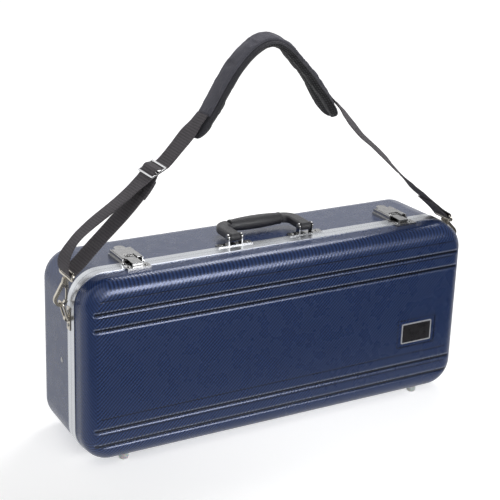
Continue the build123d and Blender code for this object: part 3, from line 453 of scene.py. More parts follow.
# Cloth under air pressure, held at its seams; a point moves no further than the cap, in mm
def puff(piece, pinned, pressure, shrink, cap):
    count = len(piece.data.vertices)
    before, after = np.empty(count * 3), np.empty(count * 3)
    piece.data.vertices.foreach_get("co", before)
    piece.vertex_groups.new(name="seams").add([int(i) for i in pinned], 1.0, "REPLACE")
    cloth = piece.modifiers.new("cloth", "CLOTH")
    cloth.settings.vertex_group_mass = "seams"
    cloth.settings.use_pressure = True
    cloth.settings.uniform_pressure_force = pressure
    cloth.settings.shrink_min = shrink
    cloth.settings.effector_weights.gravity = 0
    cloth.point_cache.frame_end = puffFrames
    for step in range(1, puffFrames + 1):
        scene.frame_set(step)
    graph = bpy.context.evaluated_depsgraph_get()
    piece.evaluated_get(graph).data.vertices.foreach_get("co", after)
    piece.modifiers.clear()
    piece.vertex_groups.clear()
    scene.frame_set(1)
    move = (after - before).reshape(-1, 3)
    size = np.linalg.norm(move, axis=1) / mm
    print(piece.name, "puffed by", round(float(size.mean()), 2), "to", round(float(size.max()), 2), "mm")
    move *= np.minimum(1, cap / np.maximum(size, 1e-6))[:, None]
    piece.data.vertices.foreach_set("co", before + move.ravel())
    piece.data.update()


padMm = padLength / mm
sections, places, around = cushionSections(padLine, padMm)
padCushion = loft("cushion", sections, places, around)
cushionGrid = np.arange(sections.shape[0] * sections.shape[1]).reshape(sections.shape[:2])
sections, places, around = sleeveSections(padLine, padMm)
padSleeve = loft("sleeve", sections, places, around)
sleeveGrid = np.arange(sections.shape[0] * sections.shape[1]).reshape(sections.shape[:2])

# The seams hold the cushion at its rim, beside the sleeve and along the channel, and the sleeve at its sides
# and hems. A section's columns run over the top from one side to the other, and back below.
wideCount, seamAt = cushion["across"], cushion["seamColumn"]
topHeld = [0, 1, seamAt, wideCount - 1 - seamAt, wideCount - 2, wideCount - 1]
belowHeld = [wideCount, wideCount + 1, 2 * wideCount - 2, 2 * wideCount - 1]
channelHeld = [wideCount + wideCount // 2 - 1, wideCount + wideCount // 2]
cushionHeld = np.unique(np.concatenate([
    cushionGrid[:, topHeld + belowHeld + channelHeld].ravel(), cushionGrid[[0, 1, 2, -3, -2, -1]].ravel(),
]))
domeCount = sleeve["across"]
sleeveHeld = np.unique(np.concatenate([
    sleeveGrid[:, [0, 1, domeCount - 2, domeCount - 1]].ravel(), sleeveGrid[:, domeCount:].ravel(),
    sleeveGrid[[0, 1, -2, -1]].ravel(),
]))
puff(padCushion, cushionHeld, *cushion["puff"])
puff(padSleeve, sleeveHeld, *sleeve["puff"])


# A run of a mesh's own points and normals, lifted by so many mm
def meshRun(piece, indices, lift):
    indices = [int(i) for i in indices]
    points = np.array([piece.data.vertices[i].co[:] for i in indices])
    normals = np.array([piece.data.vertices[i].normal[:] for i in indices])
    return points + normals * lift * mm, normals


padStitches = stitchRuns(
    "pad_stitches",
    [meshRun(padCushion, cushionGrid[3:-3, k], thread["padLift"]) for k in (2, wideCount - 3)]
    + [meshRun(padSleeve, sleeveGrid[1:-1, k], thread["padLift"]) for k in (1, domeCount - 2)]
    + [meshRun(padSleeve, sleeveGrid[k, 1 : domeCount - 1], thread["padLift"]) for k in (1, -2)],
)
# Faces of the cushion's underside, inside its binding, take the second material; the caps keep the first
rowCount = len(cushionGrid)
quadRow, quadColumn = np.divmod(np.arange((rowCount - 1) * 2 * wideCount), 2 * wideCount)
inside = (quadColumn >= wideCount + 2) & (quadColumn <= 2 * wideCount - 4)
under = inside & (quadRow > 4) & (quadRow < rowCount - 6)
padCushion.data.polygons.foreach_set("material_index", np.concatenate([under, [0, 0]]).astype(np.int32))
for piece, node in ((padCushion, "pad_cushion"), (padSleeve, "pad_cover")):
    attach(piece, "base")
    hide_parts(node)
print("pad made")

# Lining: moulded foam under plush, from the solids' own shapes with softened edges
lining = {
    "back_padding": "base", "left_block": "base", "right_block": "base", "bottom_block": "base",
    "top_block": "base", "divider": "base", "accessory_tray": "base", "lid_padding": "lid",
}
softening = {"merge": 0.02, "cell": 4, "relax": 0.5, "rounds": 6}


# Remeshes a copy of the solid in even cells and relaxes it, which rounds every edge
def softCopy(node, body):
    mesh = nodes[node].data.copy()
    cells = bmesh.new()
    cells.from_mesh(mesh)
    bmesh.ops.remove_doubles(cells, verts=cells.verts, dist=softening["merge"] * mm)
    cells.to_mesh(mesh)
    cells.free()
    soft = bpy.data.objects.new("plush_" + node, mesh)
    scene.collection.objects.link(soft)
    remesh = soft.modifiers.new("cells", "REMESH")
    remesh.mode = "VOXEL"
    remesh.voxel_size = softening["cell"] * mm
    relax = soft.modifiers.new("relax", "SMOOTH")
    relax.factor = softening["relax"]
    relax.iterations = softening["rounds"]
    graph = bpy.context.evaluated_depsgraph_get()
    done = bpy.data.meshes.new_from_object(soft.evaluated_get(graph))
    soft.modifiers.clear()
    soft.data = done
    done.materials.clear()
    done.polygons.foreach_set("use_smooth", [True] * len(done.polygons))
    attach(soft, body)
    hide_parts(node)
    return soft


plushPieces = [softCopy(node, body) for node, body in lining.items()]
print("lining made", sum(len(p.data.polygons) for p in plushPieces))

# Materials: colours are sRGB hex values, and patterns lie on the object's coordinates in mm
smooth = {"interpolation_type": "SMOOTHSTEP"}
inColour = {"output": 2, "data_type": "RGBA"}


# Hex sRGB to linear colour, by the standard's own curve
def linear(colour):
    parts = [int(colour[i : i + 2], 16) / 255 for i in (1, 3, 5)]
    return [p / 12.92 if p <= 0.04045 else ((p + 0.055) / 1.055) ** 2.4 for p in parts] + [1]


# Sets a socket to a number or colour, or links it to another socket
def put(tree, socket, value):
    if isinstance(value, bpy.types.NodeSocket):
        tree.links.new(value, socket)
    elif isinstance(value, str):
        socket.default_value = linear(value)
    else:
        socket.default_value = value


# Adds a node with its settings; inputs come in order or by name. Returns one output, or all for None.
def add(tree, kind, inputs=(), output=0, **settings):
    made = tree.nodes.new("ShaderNode" + kind)
    for key, value in settings.items():
        setattr(made, key, value)
    for key, value in inputs.items() if isinstance(inputs, dict) else enumerate(inputs):
        put(tree, made.inputs[key], value)
    return made.outputs if output is None else made.outputs[output]


# Fills a node's inputs by name, with _ for a blank
def fill(tree, shader, **sockets):
    for key, value in sockets.items():
        put(tree, shader.inputs[key.replace("_", " ")], value)


# The usual finish: a colour between two by share, a roughness that follows gloss, a relief in mm by height
# and, where edge is given, edges rounded by so many mm
def finish(tree, shader, share, colours, gloss, roughness, height, relief, strength=0.5, edge=0):
    raised = {"Height": height, "Distance": relief * mm, "Strength": strength}
    if edge:
        raised["Normal"] = add(tree, "Bevel", {"Radius": edge * mm}, samples=4)
    fill(
        tree, shader, Normal=add(tree, "Bump", raised),
        Base_Color=add(tree, "Mix", {0: share, 6: colours[0], 7: colours[1]}, **inColour),
        Roughness=add(tree, "MapRange", (gloss, *roughness), **smooth),
    )


# A material with one Principled shader and its fixed values
def surface(name, **sockets):
    material = bpy.data.materials.new(name)
    material.use_nodes = True
    tree = material.node_tree
    shader = tree.nodes["Principled BSDF"]
    fill(tree, shader, **sockets)
    return material, tree, shader


# Object coordinates in mm
def place(tree):
    here = add(tree, "TexCoord", output="Object")
    return add(tree, "VectorMath", {0: here, "Scale": 1000.0}, operation="SCALE")


# Moulded navy plastic with a twill grain. Four numbers are a smooth step: from, to, value before, value after.
# The real twill has about 3.4 mm from ridge to ridge; it is drawn coarser, so that it shows in the picture.
# Levels are heights, ends and reaches are counted from the middle of the length, and the rest are widths.
shellLook = {
    "pitch": 4.2, "sway": 0.6, "ridges": 0.5, "breaks": 0.16, "relief": 0.16,
    "aslant": (0.6, 0.78, 0.0, 1.0), "sideways": (0.08, 0.26, 0.5, 1.0), "flat": (0.93, 0.995, 1.0, 0.4),
    "grain": 2.2, "grainHeight": 0.1, "edge": 0.9, "faceY": -84.0,
    "grooves": (38.25, 62.25, 214.5, 238.5), "grooveReach": 303.5, "grooveShade": (1.4, 2.2, 1.0, 0.0),
    "shoulder": (2.5, 5.2, 1.0, 0.0), "shoulderDepth": 6.0,
    # lipIn, lipOut, lipTwill, upperLip and upper place the painted highlights on the grooves' lips
    "lipIn": (2.3, 2.8, 0.0, 1.0), "lipOut": (3.2, 4.2, 1.0, 0.0), "lipTwill": 0.45,
    "upperLip": 3.2, "upper": (1.0, 1.6, 1.0, 0.0),
    "creases": (256.5, 232.5, 80.0, 55.5), "crease": (0.0, 1.9, 1.0, 0.0), "creaseEnd": 297.0,
    "creasePaintedShade": 0.8,
    "recess": (237.5, 0.0, 115.0), "recessHalf": (35.0, 0.0, 22.5), "rim": (0.4, 1.7, 0.75, 0.0),
    "valley": ("#0d1a38", "#0f1d3e"), "valleyPatch": 0.012, "ridge": "#31487a", "ridgeFrom": (-0.4, 0.45),
    # lips are the painted highlight colours of the lower and upper lips; dark is the painted shade colour
    "lips": ("#46536f", "#8e98ae"), "dark": "#070d1c",
    "gloss": 0.05, "roughness": (0.3, 0.7, 0.25, 0.31),
}


# Ridges are the sine of x + y - z, and weaker breaks the sine of x - y + z, swayed by the ridges. The ridges
# fade where the surface turns along them, so that they don't run into rings, and the relief on flat faces.
def twillPattern(tree, here, look):
    turn = 2 * pi / (look["pitch"] * 2**0.5)
    facing = add(tree, "TexCoord", output="Normal")
    sizes = add(tree, "VectorMath", (facing,), operation="ABSOLUTE")
    sideX, sideY, sideZ = add(tree, "SeparateXYZ", (sizes,), None)
    aslant = add(tree, "VectorMath", (facing, (0.577, 0.577, -0.577)), "Value", operation="DOT_PRODUCT")
    aslant = add(tree, "Math", (aslant,), operation="ABSOLUTE")
    aslant = add(tree, "MapRange", (aslant, *look["aslant"]), **smooth)
    sideways = add(tree, "MapRange", (sideX, *look["sideways"]), **smooth)
    along = add(tree, "Math", (aslant, sideways), operation="MULTIPLY")
    kept = add(tree, "Math", (1.0, along), operation="SUBTRACT")
    ridge = add(tree, "VectorMath", (here, (turn, turn, -turn)), "Value", operation="DOT_PRODUCT")
    wave = add(tree, "Math", (ridge,), operation="SINE")
    wave = add(tree, "Math", (wave, kept), operation="MULTIPLY")
    cross = add(tree, "VectorMath", (here, (turn, -turn, turn)), "Value", operation="DOT_PRODUCT")
    cross = add(tree, "Math", (wave, look["sway"], cross), operation="MULTIPLY_ADD")
    breaks = add(tree, "Math", (cross,), operation="SINE")
    breaks = add(tree, "Math", (breaks, look["breaks"]), operation="MULTIPLY")
    twill = add(tree, "Math", (wave, look["ridges"], breaks), operation="MULTIPLY_ADD")
    flat = add(tree, "Math", (sideX, sideY), operation="MAXIMUM")
    flat = add(tree, "Math", (flat, sideZ), operation="MAXIMUM")
    flat = add(tree, "MapRange", (flat, *look["flat"]), **smooth)
    relief = add(tree, "Math", (twill, flat), operation="MULTIPLY")
    return wave, twill, relief


# Injection-moulded ABS: the twill breaks its highlights. The grooves' lips get painted highlights in lighter
# colours, and the grooves' cores, the creases and the badge recess's edge get painted shade in a dark colour.
def shellMaterial():
    look = shellLook
    material, tree, shader = surface(
        "moulded_plastic_navy", IOR=1.54, Specular_IOR_Level=0.6, Specular_Tint="#dfe6ff"
    )
    here = place(tree)
    x, y, z = add(tree, "SeparateXYZ", (here,), None)
    farX = add(tree, "Math", (x,), operation="ABSOLUTE")
    offFace = add(tree, "Math", (y, look["faceY"]), operation="GREATER_THAN")
    wave, twill, relief = twillPattern(tree, here, look)

    # Creases: faint lines in the bump, also darkened as painted shade
    crease = 0.0
    for level in look["creases"]:
        rise = add(tree, "Math", (z, level), operation="SUBTRACT")
        rise = add(tree, "Math", (rise,), operation="ABSOLUTE")
        line = add(tree, "MapRange", (rise, *look["crease"]), **smooth)
        crease = add(tree, "Math", (crease, line), operation="MAXIMUM")
    pastEnd = add(tree, "Math", (farX, look["creaseEnd"]), operation="GREATER_THAN")
    outside = add(tree, "Math", (offFace, pastEnd), operation="MAXIMUM")
    crease = add(tree, "Math", (crease, outside), operation="SUBTRACT", use_clamp=True)

    # Distance from the nearest groove's middle line, which ends at its reach
    past = add(tree, "Math", (farX, look["grooveReach"]), operation="SUBTRACT")
    past = add(tree, "Math", (past, 0.0), operation="MAXIMUM")
    near, upper = 1000.0, 0.0
    for level in look["grooves"]:
        rise = add(tree, "Math", (z, level), operation="SUBTRACT")
        offset = add(tree, "CombineXYZ", (past, rise))
        away = add(tree, "VectorMath", (offset,), "Value", operation="LENGTH")
        near = add(tree, "Math", (near, away), operation="MINIMUM")
        # Upper marks the band above each groove, where the painted highlight is brighter
        side = add(tree, "Math", (rise, look["upperLip"]), operation="SUBTRACT")
        side = add(tree, "Math", (side,), operation="ABSOLUTE")
        side = add(tree, "MapRange", (side, *look["upper"]), **smooth)
        upper = add(tree, "Math", (upper, side), operation="MAXIMUM")
    near = add(tree, "Math", (offFace, 1000.0, near), operation="MULTIPLY_ADD")
    shoulder = add(tree, "MapRange", (near, *look["shoulder"]), **smooth)
    # The middle of each groove gets painted shade
    grooveShade = add(tree, "MapRange", (near, *look["grooveShade"]), **smooth)
    # The lips beside each groove get a painted highlight, dotted by the twill
    lipIn = add(tree, "MapRange", (near, *look["lipIn"]), **smooth)
    lipOut = add(tree, "MapRange", (near, *look["lipOut"]), **smooth)
    lip = add(tree, "Math", (lipIn, lipOut), operation="MULTIPLY")
    glint = add(tree, "Math", (wave, look["lipTwill"], 1 - look["lipTwill"]), operation="MULTIPLY_ADD")
    lip = add(tree, "Math", (lip, glint), operation="MULTIPLY")

    # The badge recess's edge, darkened as painted shade: the larger of the distances past its half sizes
    edge = add(tree, "VectorMath", (here, look["recess"]), operation="SUBTRACT")
    edge = add(tree, "VectorMath", (edge,), operation="ABSOLUTE")
    edge = add(tree, "VectorMath", (edge, look["recessHalf"]), operation="SUBTRACT")
    edge = add(tree, "SeparateXYZ", (edge,), None)
    rim = add(tree, "Math", (edge[0], edge[2]), operation="MAXIMUM")
    rim = add(tree, "Math", (rim,), operation="ABSOLUTE")
    rim = add(tree, "MapRange", (rim, *look["rim"]), **smooth)
    rim = add(tree, "Math", (rim, offFace), operation="SUBTRACT", use_clamp=True)

    grain = add(tree, "TexNoise", {"Vector": here, "Scale": look["grain"]})
    height = add(tree, "Math", (grain, look["grainHeight"], relief), operation="MULTIPLY_ADD")
    height = add(tree, "Math", (height, crease), operation="SUBTRACT")
    height = add(tree, "Math", (shoulder, -look["shoulderDepth"], height), operation="MULTIPLY_ADD")

    cloudy = add(tree, "TexNoise", {"Vector": here, "Scale": look["valleyPatch"], "Detail": 3.0})
    valley = add(tree, "Mix", {0: cloudy, 6: look["valley"][0], 7: look["valley"][1]}, **inColour)
    ridged = add(tree, "MapRange", (twill, *look["ridgeFrom"]), **smooth)
    colour = add(tree, "Mix", {0: ridged, 6: valley, 7: look["ridge"]}, **inColour)
    # Painted highlights on the grooves' lips, brighter on the upper lip
    paintedLipHighlight = add(tree, "Mix", {0: upper, 6: look["lips"][0], 7: look["lips"][1]}, **inColour)
    colour = add(tree, "Mix", {0: lip, 6: colour, 7: paintedLipHighlight}, **inColour)
    # Painted shade in the grooves' cores, round the badge recess and on the creases
    dark = add(tree, "Math", (grooveShade, rim), operation="MAXIMUM")
    creased = add(tree, "Math", (crease, look["creasePaintedShade"]), operation="MULTIPLY")
    dark = add(tree, "Math", (dark, creased), operation="MAXIMUM")
    gloss = add(tree, "TexNoise", {"Vector": here, "Scale": look["gloss"], "Detail": 4.0})
    colours = (colour, look["dark"])
    finish(tree, shader, dark, colours, gloss, look["roughness"], height, look["relief"], 1.0, look["edge"])
    return material


# Lines run along the rails; the joint is the dark line where the two rails meet, on their outer faces only
valanceLook = {
    "lines": 4.0, "relief": 0.02, "colours": ("#cacdd3", "#d8dbdf"), "patch": 0.03,
    "roughness": (0.3, 0.7, 0.24, 0.34), "jointY": 39.65, "joint": (0.1, 0.45, 1.0, 0.0), "dark": "#34373e",
}


# Extruded, satin anodised aluminium: fine drawn lines along the rail soften its reflections
def valanceMaterial():
    look = valanceLook
    material, tree, shader = surface("satin_aluminium", Metallic=1.0)
    here = place(tree)
    across = add(tree, "SeparateXYZ", (here,), None)[1]
    stripes = add(tree, "CombineXYZ", {"Y": across})
    lines = add(tree, "TexNoise", {"Vector": stripes, "Scale": look["lines"]})
    facing = add(tree, "TexCoord", output="Normal")
    lidwards = add(tree, "SeparateXYZ", (facing,), None)[1]
    lidwards = add(tree, "Math", (lidwards,), operation="ABSOLUTE")
    top = add(tree, "Math", (lidwards, 0.5), operation="LESS_THAN")
    away = add(tree, "Math", (across, look["jointY"]), operation="ADD")
    away = add(tree, "Math", (away,), operation="ABSOLUTE")
    joint = add(tree, "MapRange", (away, *look["joint"]), **smooth)
    joint = add(tree, "Math", (joint, top), operation="MULTIPLY")
    patch = add(tree, "TexNoise", {"Vector": here, "Scale": look["patch"], "Detail": 3.0})
    satin = add(tree, "Mix", {0: patch, 6: look["colours"][0], 7: look["colours"][1]}, **inColour)
    colours = (satin, look["dark"])
    finish(tree, shader, joint, colours, lines, look["roughness"], lines, look["relief"], 0.6)
    return material


# Two colours, and the roughness where the plating is clean and where it is marked
nickelLooks = {
    "bright_nickel": ("#7e7f83", "#b6b5b3", 0.14, 0.28), "plain_steel": ("#66676a", "#9c9c9c", 0.22, 0.38),
    "warm_nickel": ("#a39d93", "#dcd6ca", 0.16, 0.3), "bright_wire": ("#bcbdc0", "#e6e6e8", 0.12, 0.22),
}


# Nickel-plated steel: bright, slightly uneven, with fine handling marks and edges rounded by 0.35 mm
def nickelMaterial(name):
    dull, bright, clean, marked = nickelLooks[name]
    material, tree, shader = surface(name, Metallic=1.0)
    here = place(tree)
    patch = add(tree, "TexNoise", {"Vector": here, "Scale": 0.2, "Detail": 3.0})
    marks = add(tree, "TexNoise", {"Vector": here, "Scale": 0.9, "Detail": 5.0, "Roughness": 0.7})
    uneven = add(tree, "TexNoise", {"Vector": here, "Scale": 0.35})
    roughness = (0.35, 0.7, clean, marked)
    finish(tree, shader, patch, (dull, bright), marks, roughness, uneven, 0.06, edge=0.35)
    return material


# Brush stretches the strokes along x
trimLook = {
    "brush": (0.15, 1, 3), "strokes": 1.2, "colours": ("#c2c3c6", "#e6e6e8"), "relief": 0.02,
    "roughness": (0.3, 0.7, 0.3, 0.42),
}


# Hot-stamped silver foil round the badge: half metallic, brushed along its length
def trimMaterial():
    look = trimLook
    material, tree, shader = surface("silver_foil", Metallic=0.35)
    drawn = add(tree, "VectorMath", (place(tree), look["brush"]), operation="MULTIPLY")
    strokes = add(tree, "TexNoise", {"Vector": drawn, "Scale": look["strokes"], "Detail": 3.0})
    finish(tree, shader, strokes, look["colours"], strokes, look["roughness"], strokes, look["relief"])
    return material


# Cells are about 1.3 mm across
leatherLook = {
    "cells": 0.75, "pores": 1.8, "poreHeight": 0.5, "relief": 0.16, "colours": ("#222226", "#3c3c42"),
    "roughness": (0.0, 0.3, 0.5, 0.32),
}


# Black grained leather: small raised cells with fine pores, worn a little smoother on top
def leatherMaterial():
    look = leatherLook
    material, tree, shader = surface("black_leather", Specular_IOR_Level=0.5)
    here = place(tree)
    cells = add(tree, "TexVoronoi", {"Vector": here, "Scale": look["cells"]}, feature="DISTANCE_TO_EDGE")
    pores = add(tree, "TexNoise", {"Vector": here, "Scale": look["pores"], "Detail": 4.0, "Roughness": 0.6})
    tops = add(tree, "MapRange", (cells, 0.0, 0.25, 0.0, 1.0), **smooth)
    height = add(tree, "Math", (pores, look["poreHeight"], tops), operation="MULTIPLY_ADD")
    finish(tree, shader, pores, look["colours"], cells, look["roughness"], height, look["relief"], 0.8)
    return material


# Two colours and two roughnesses that a soft cloud goes between, its cells per mm, and the surface's own
clouded = {
    "nylon_glide": {
        "colours": ("#dfe1e0", "#f0f1ef"), "roughness": (0.3, 0.7, 0.25, 0.4), "cloud": 0.15, "detail": 3.0,
        "uneven": 1.2, "relief": 0.04,
        "fixed": {"Subsurface_Weight": 0.6, "Subsurface_Scale": 0.004, "Transmission_Weight": 0.15},
    },
    "black_enamel": {
        "colours": ("#1b1a1e", "#1e1d21"), "roughness": (0.3, 0.7, 0.25, 0.35), "cloud": 0.1, "detail": 2.0,
        "uneven": 0.5, "relief": 0.02, "fixed": {"Coat_Weight": 0.5, "Coat_Roughness": 0.1},
    },
}


# Moulded natural nylon for the feet, whitish, which lets some light through, and stoving enamel for the bare
# badge, black under a clear coat with a faint orange peel
def cloudedMaterial(name):
    look = clouded[name]
    material, tree, shader = surface(name, **look["fixed"])
    here = place(tree)
    cloud = add(tree, "TexNoise", {"Vector": here, "Scale": look["cloud"], "Detail": look["detail"]})
    uneven = add(tree, "TexNoise", {"Vector": here, "Scale": look["uneven"], "Detail": look["detail"]})
    finish(tree, shader, cloud, look["colours"], cloud, look["roughness"], uneven, look["relief"])
    return material


# Pitch and gauge are mm from thread to thread along and across; depth is the relief, fuzz its cells per mm.
# Real webbing has a thread about every 1.5 mm: it is drawn coarser, so that it shows in the picture.
fabricLooks = {
    "polyester_webbing": {"pitch": 4.0, "gauge": 2.2, "depth": 0.45, "sheen": 0.25, "fuzz": 3.0},
    "nylon_cover": {"pitch": 0.7, "gauge": 0.7, "depth": 0.1, "sheen": 0.5, "fuzz": 3.5},
    "spacer_mesh": {"pitch": 2.6, "gauge": 2.6, "depth": 0.5, "sheen": 0.4, "fuzz": 1.2},
    "sewing_thread": {"pitch": 0.4, "gauge": 0.4, "depth": 0.05, "sheen": 0.2, "fuzz": 6.0},
}
fabricColours = {
    "polyester_webbing": ("#151315", "#6a666a"), "nylon_cover": ("#303036", "#64646e"),
    "spacer_mesh": ("#161618", "#4a4a50"), "sewing_thread": ("#2a2a2d", "#5d5c62"),
}


# Over and under: warp threads show where the two waves agree in sign, weft threads elsewhere
def weaveHeight(tree, along, across, pitch, gauge):
    a = add(tree, "Math", (along, pi / pitch), operation="MULTIPLY")
    a = add(tree, "Math", (a,), operation="SINE")
    b = add(tree, "Math", (across, pi / gauge), operation="MULTIPLY")
    b = add(tree, "Math", (b,), operation="SINE")
    agree = add(tree, "Math", (a, b), operation="MULTIPLY")
    over = add(tree, "Math", (agree, 0.0), operation="GREATER_THAN")
    below = add(tree, "Math", (1.0, over), operation="SUBTRACT")
    weft = add(tree, "Math", (a,), operation="ABSOLUTE")
    weft = add(tree, "Math", (weft, below), operation="MULTIPLY")
    warp = add(tree, "Math", (b,), operation="ABSOLUTE")
    return add(tree, "Math", (warp, over, weft), operation="MULTIPLY_ADD")


# Woven polyester or nylon: threads over and under in the piece's own map, fuzz, a soft sheen, and painted
# shade between the threads
def fabricMaterial(name):
    look = fabricLooks[name]
    material, tree, shader = surface(
        name, Sheen_Weight=look["sheen"], Sheen_Roughness=0.45, Sheen_Tint="#8a8890", Specular_IOR_Level=0.3
    )
    spot = add(tree, "SeparateXYZ", (add(tree, "UVMap", uv_map="surface"),), None)
    weave = weaveHeight(tree, spot[0], spot[1], look["pitch"], look["gauge"])
    here = place(tree)
    fibre = add(tree, "TexNoise", {"Vector": here, "Scale": look["fuzz"], "Detail": 4.0, "Roughness": 0.7})
    height = add(tree, "Math", (fibre, 0.5, weave), operation="MULTIPLY_ADD")
    patch = add(tree, "TexNoise", {"Vector": here, "Scale": 0.03, "Detail": 3.0})
    patch = add(tree, "Math", (patch, 0.4), operation="MULTIPLY")
    # Painted shade in the gaps between threads and painted highlight on their crests, with random patches of
    # the cloth's own tone
    shade = add(tree, "Math", (weave, 0.7, patch), operation="MULTIPLY_ADD")
    roughness = (0.3, 0.7, 0.72, 0.9)
    finish(tree, shader, shade, fabricColours[name], fibre, roughness, height, look["depth"], 0.9)
    return material


# Dots stand where the sines of x + y and x - y, in turns of twice their spacing, are both far from zero
dotLook = {
    "spacing": 4, "dots": (0.35, 0.75, 0.0, 1.0), "fuzz": 2.0, "relief": 0.5,
    "ground": ("#08080a", "#151519"), "rubber": "#26262c", "roughness": (0.0, 1.0, 0.85, 0.45),
}


# Black non-slip cloth: soft rubber dots in staggered rows on a matte ground
def dottedMaterial():
    look = dotLook
    material, tree, shader = surface(
        "grip_cloth", Specular_IOR_Level=0.4, Sheen_Weight=0.2, Sheen_Roughness=0.5
    )
    turn = pi / look["spacing"]
    spot = add(tree, "UVMap", uv_map="surface")
    a = add(tree, "VectorMath", (spot, (turn, turn, 0)), "Value", operation="DOT_PRODUCT")
    a = add(tree, "Math", (a,), operation="SINE")
    b = add(tree, "VectorMath", (spot, (turn, -turn, 0)), "Value", operation="DOT_PRODUCT")
    b = add(tree, "Math", (b,), operation="SINE")
    dots = add(tree, "Math", (a, b), operation="MULTIPLY")
    dots = add(tree, "MapRange", (dots, *look["dots"]), **smooth)
    here = place(tree)
    fibre = add(tree, "TexNoise", {"Vector": here, "Scale": look["fuzz"], "Detail": 4.0, "Roughness": 0.7})
    height = add(tree, "Math", (fibre, 0.3, dots), operation="MULTIPLY_ADD")
    ground = add(tree, "Mix", {0: fibre, 6: look["ground"][0], 7: look["ground"][1]}, **inColour)
    colours = (ground, look["rubber"])
    finish(tree, shader, dots, colours, dots, look["roughness"], height, look["relief"], 0.9)
    return material


plushLook = {"pile": 1.6, "strokes": 0.03, "relief": 0.5, "colours": ("#15171f", "#2d313f")}


# Knitted plush: short dense pile, dark blue-grey, brighter where it is seen edge on
def plushMaterial():
    look = plushLook
    material, tree, shader = surface(
        "plush_pile", Sheen_Weight=0.8, Sheen_Roughness=0.35, Sheen_Tint="#6d7388", Roughness=0.95,
        Specular_IOR_Level=0.1,
    )
    here = place(tree)
    pile = {"Vector": here, "Scale": look["pile"], "Detail": 4.0, "Roughness": 0.75}
    pile = add(tree, "TexNoise", pile)
    strokes = {"Vector": here, "Scale": look["strokes"], "Detail": 4.0, "Roughness": 0.6}
    strokes = add(tree, "TexNoise", strokes)
    height = add(tree, "Math", (strokes, 2.0, pile), operation="MULTIPLY_ADD")
    raised = {"Height": height, "Distance": look["relief"] * mm, "Strength": 0.8}
    tint = add(tree, "Math", (strokes, 0.5), operation="MULTIPLY")
    tint = add(tree, "Math", (pile, 0.6, tint), operation="MULTIPLY_ADD")
    fill(
        tree, shader, Normal=add(tree, "Bump", raised),
        Base_Color=add(tree, "Mix", {0: tint, 6: look["colours"][0], 7: look["colours"][1]}, **inColour),
    )
    return material


looks = {
    "shell": shellMaterial(), "valance": valanceMaterial(), "hardware": nickelMaterial("bright_nickel"),
    "steel": nickelMaterial("plain_steel"), "leather": leatherMaterial(),
    "glide": cloudedMaterial("nylon_glide"), "badge": cloudedMaterial("black_enamel"),
    "webbing": fabricMaterial("polyester_webbing"),
    "padding": fabricMaterial("nylon_cover"), "plush": plushMaterial(),
}
warmNickel = nickelMaterial("warm_nickel")
ownLooks = {
    "badge_frame": trimMaterial(), "strap_slider": nickelMaterial("bright_wire"), "strap_eyes": warmNickel,
    "strap_anchors": warmNickel, "strap_ring_left": warmNickel, "strap_ring_right": warmNickel,
    "snap_hook_left": warmNickel, "snap_hook_right": warmNickel, "snap_gate_left": warmNickel,
    "snap_gate_right": warmNickel,
}
sewingThread = fabricMaterial("sewing_thread")
for piece in frame["record"]["subparts"]:
    for slot in nodes[piece["node"]].material_slots:
        slot.material = ownLooks.get(piece["node"], looks[piece["material_slot"]])
for strap in (leftStrap, rightStrap, foldStrip):
    strap.data.materials.append(looks["webbing"])
padSleeve.data.materials.append(looks["padding"])
padCushion.data.materials.append(fabricMaterial("spacer_mesh"))
padCushion.data.materials.append(dottedMaterial())
for piece in (strapStitches, padStitches):
    piece.data.materials.append(sewingThread)
for piece in plushPieces:
    piece.data.materials.append(looks["plush"])
print("materials made")

# Floor: what the camera sees glows near white, with a painted shadow round a centre to the left of the case
# and in front of it, and brighter far off. Reflections see it bright behind the case and dim in front, towards
# the right and then near the camera.
floorLook = {
    "reach": 9, "pale": ("#e9e9e9", "#eeeeee"), "cloud": 0.002, "glow": 0.6,
    "far": (700.0, 2600.0, 1.06, 1.3), "paintedShadowCentre": (-520.0, -380.0, 0.0), "paintedShadow": (100.0, 700.0, 0.62, 1.0),
    "behind": (-300.0, -90.0, 0.0, 1.08), "behindGain": 1.35, "front": (-150.0, 450.0, 0.33, 0.09),
    "nearest": (-1000.0, -760.0, 0.2, 0.0),
}


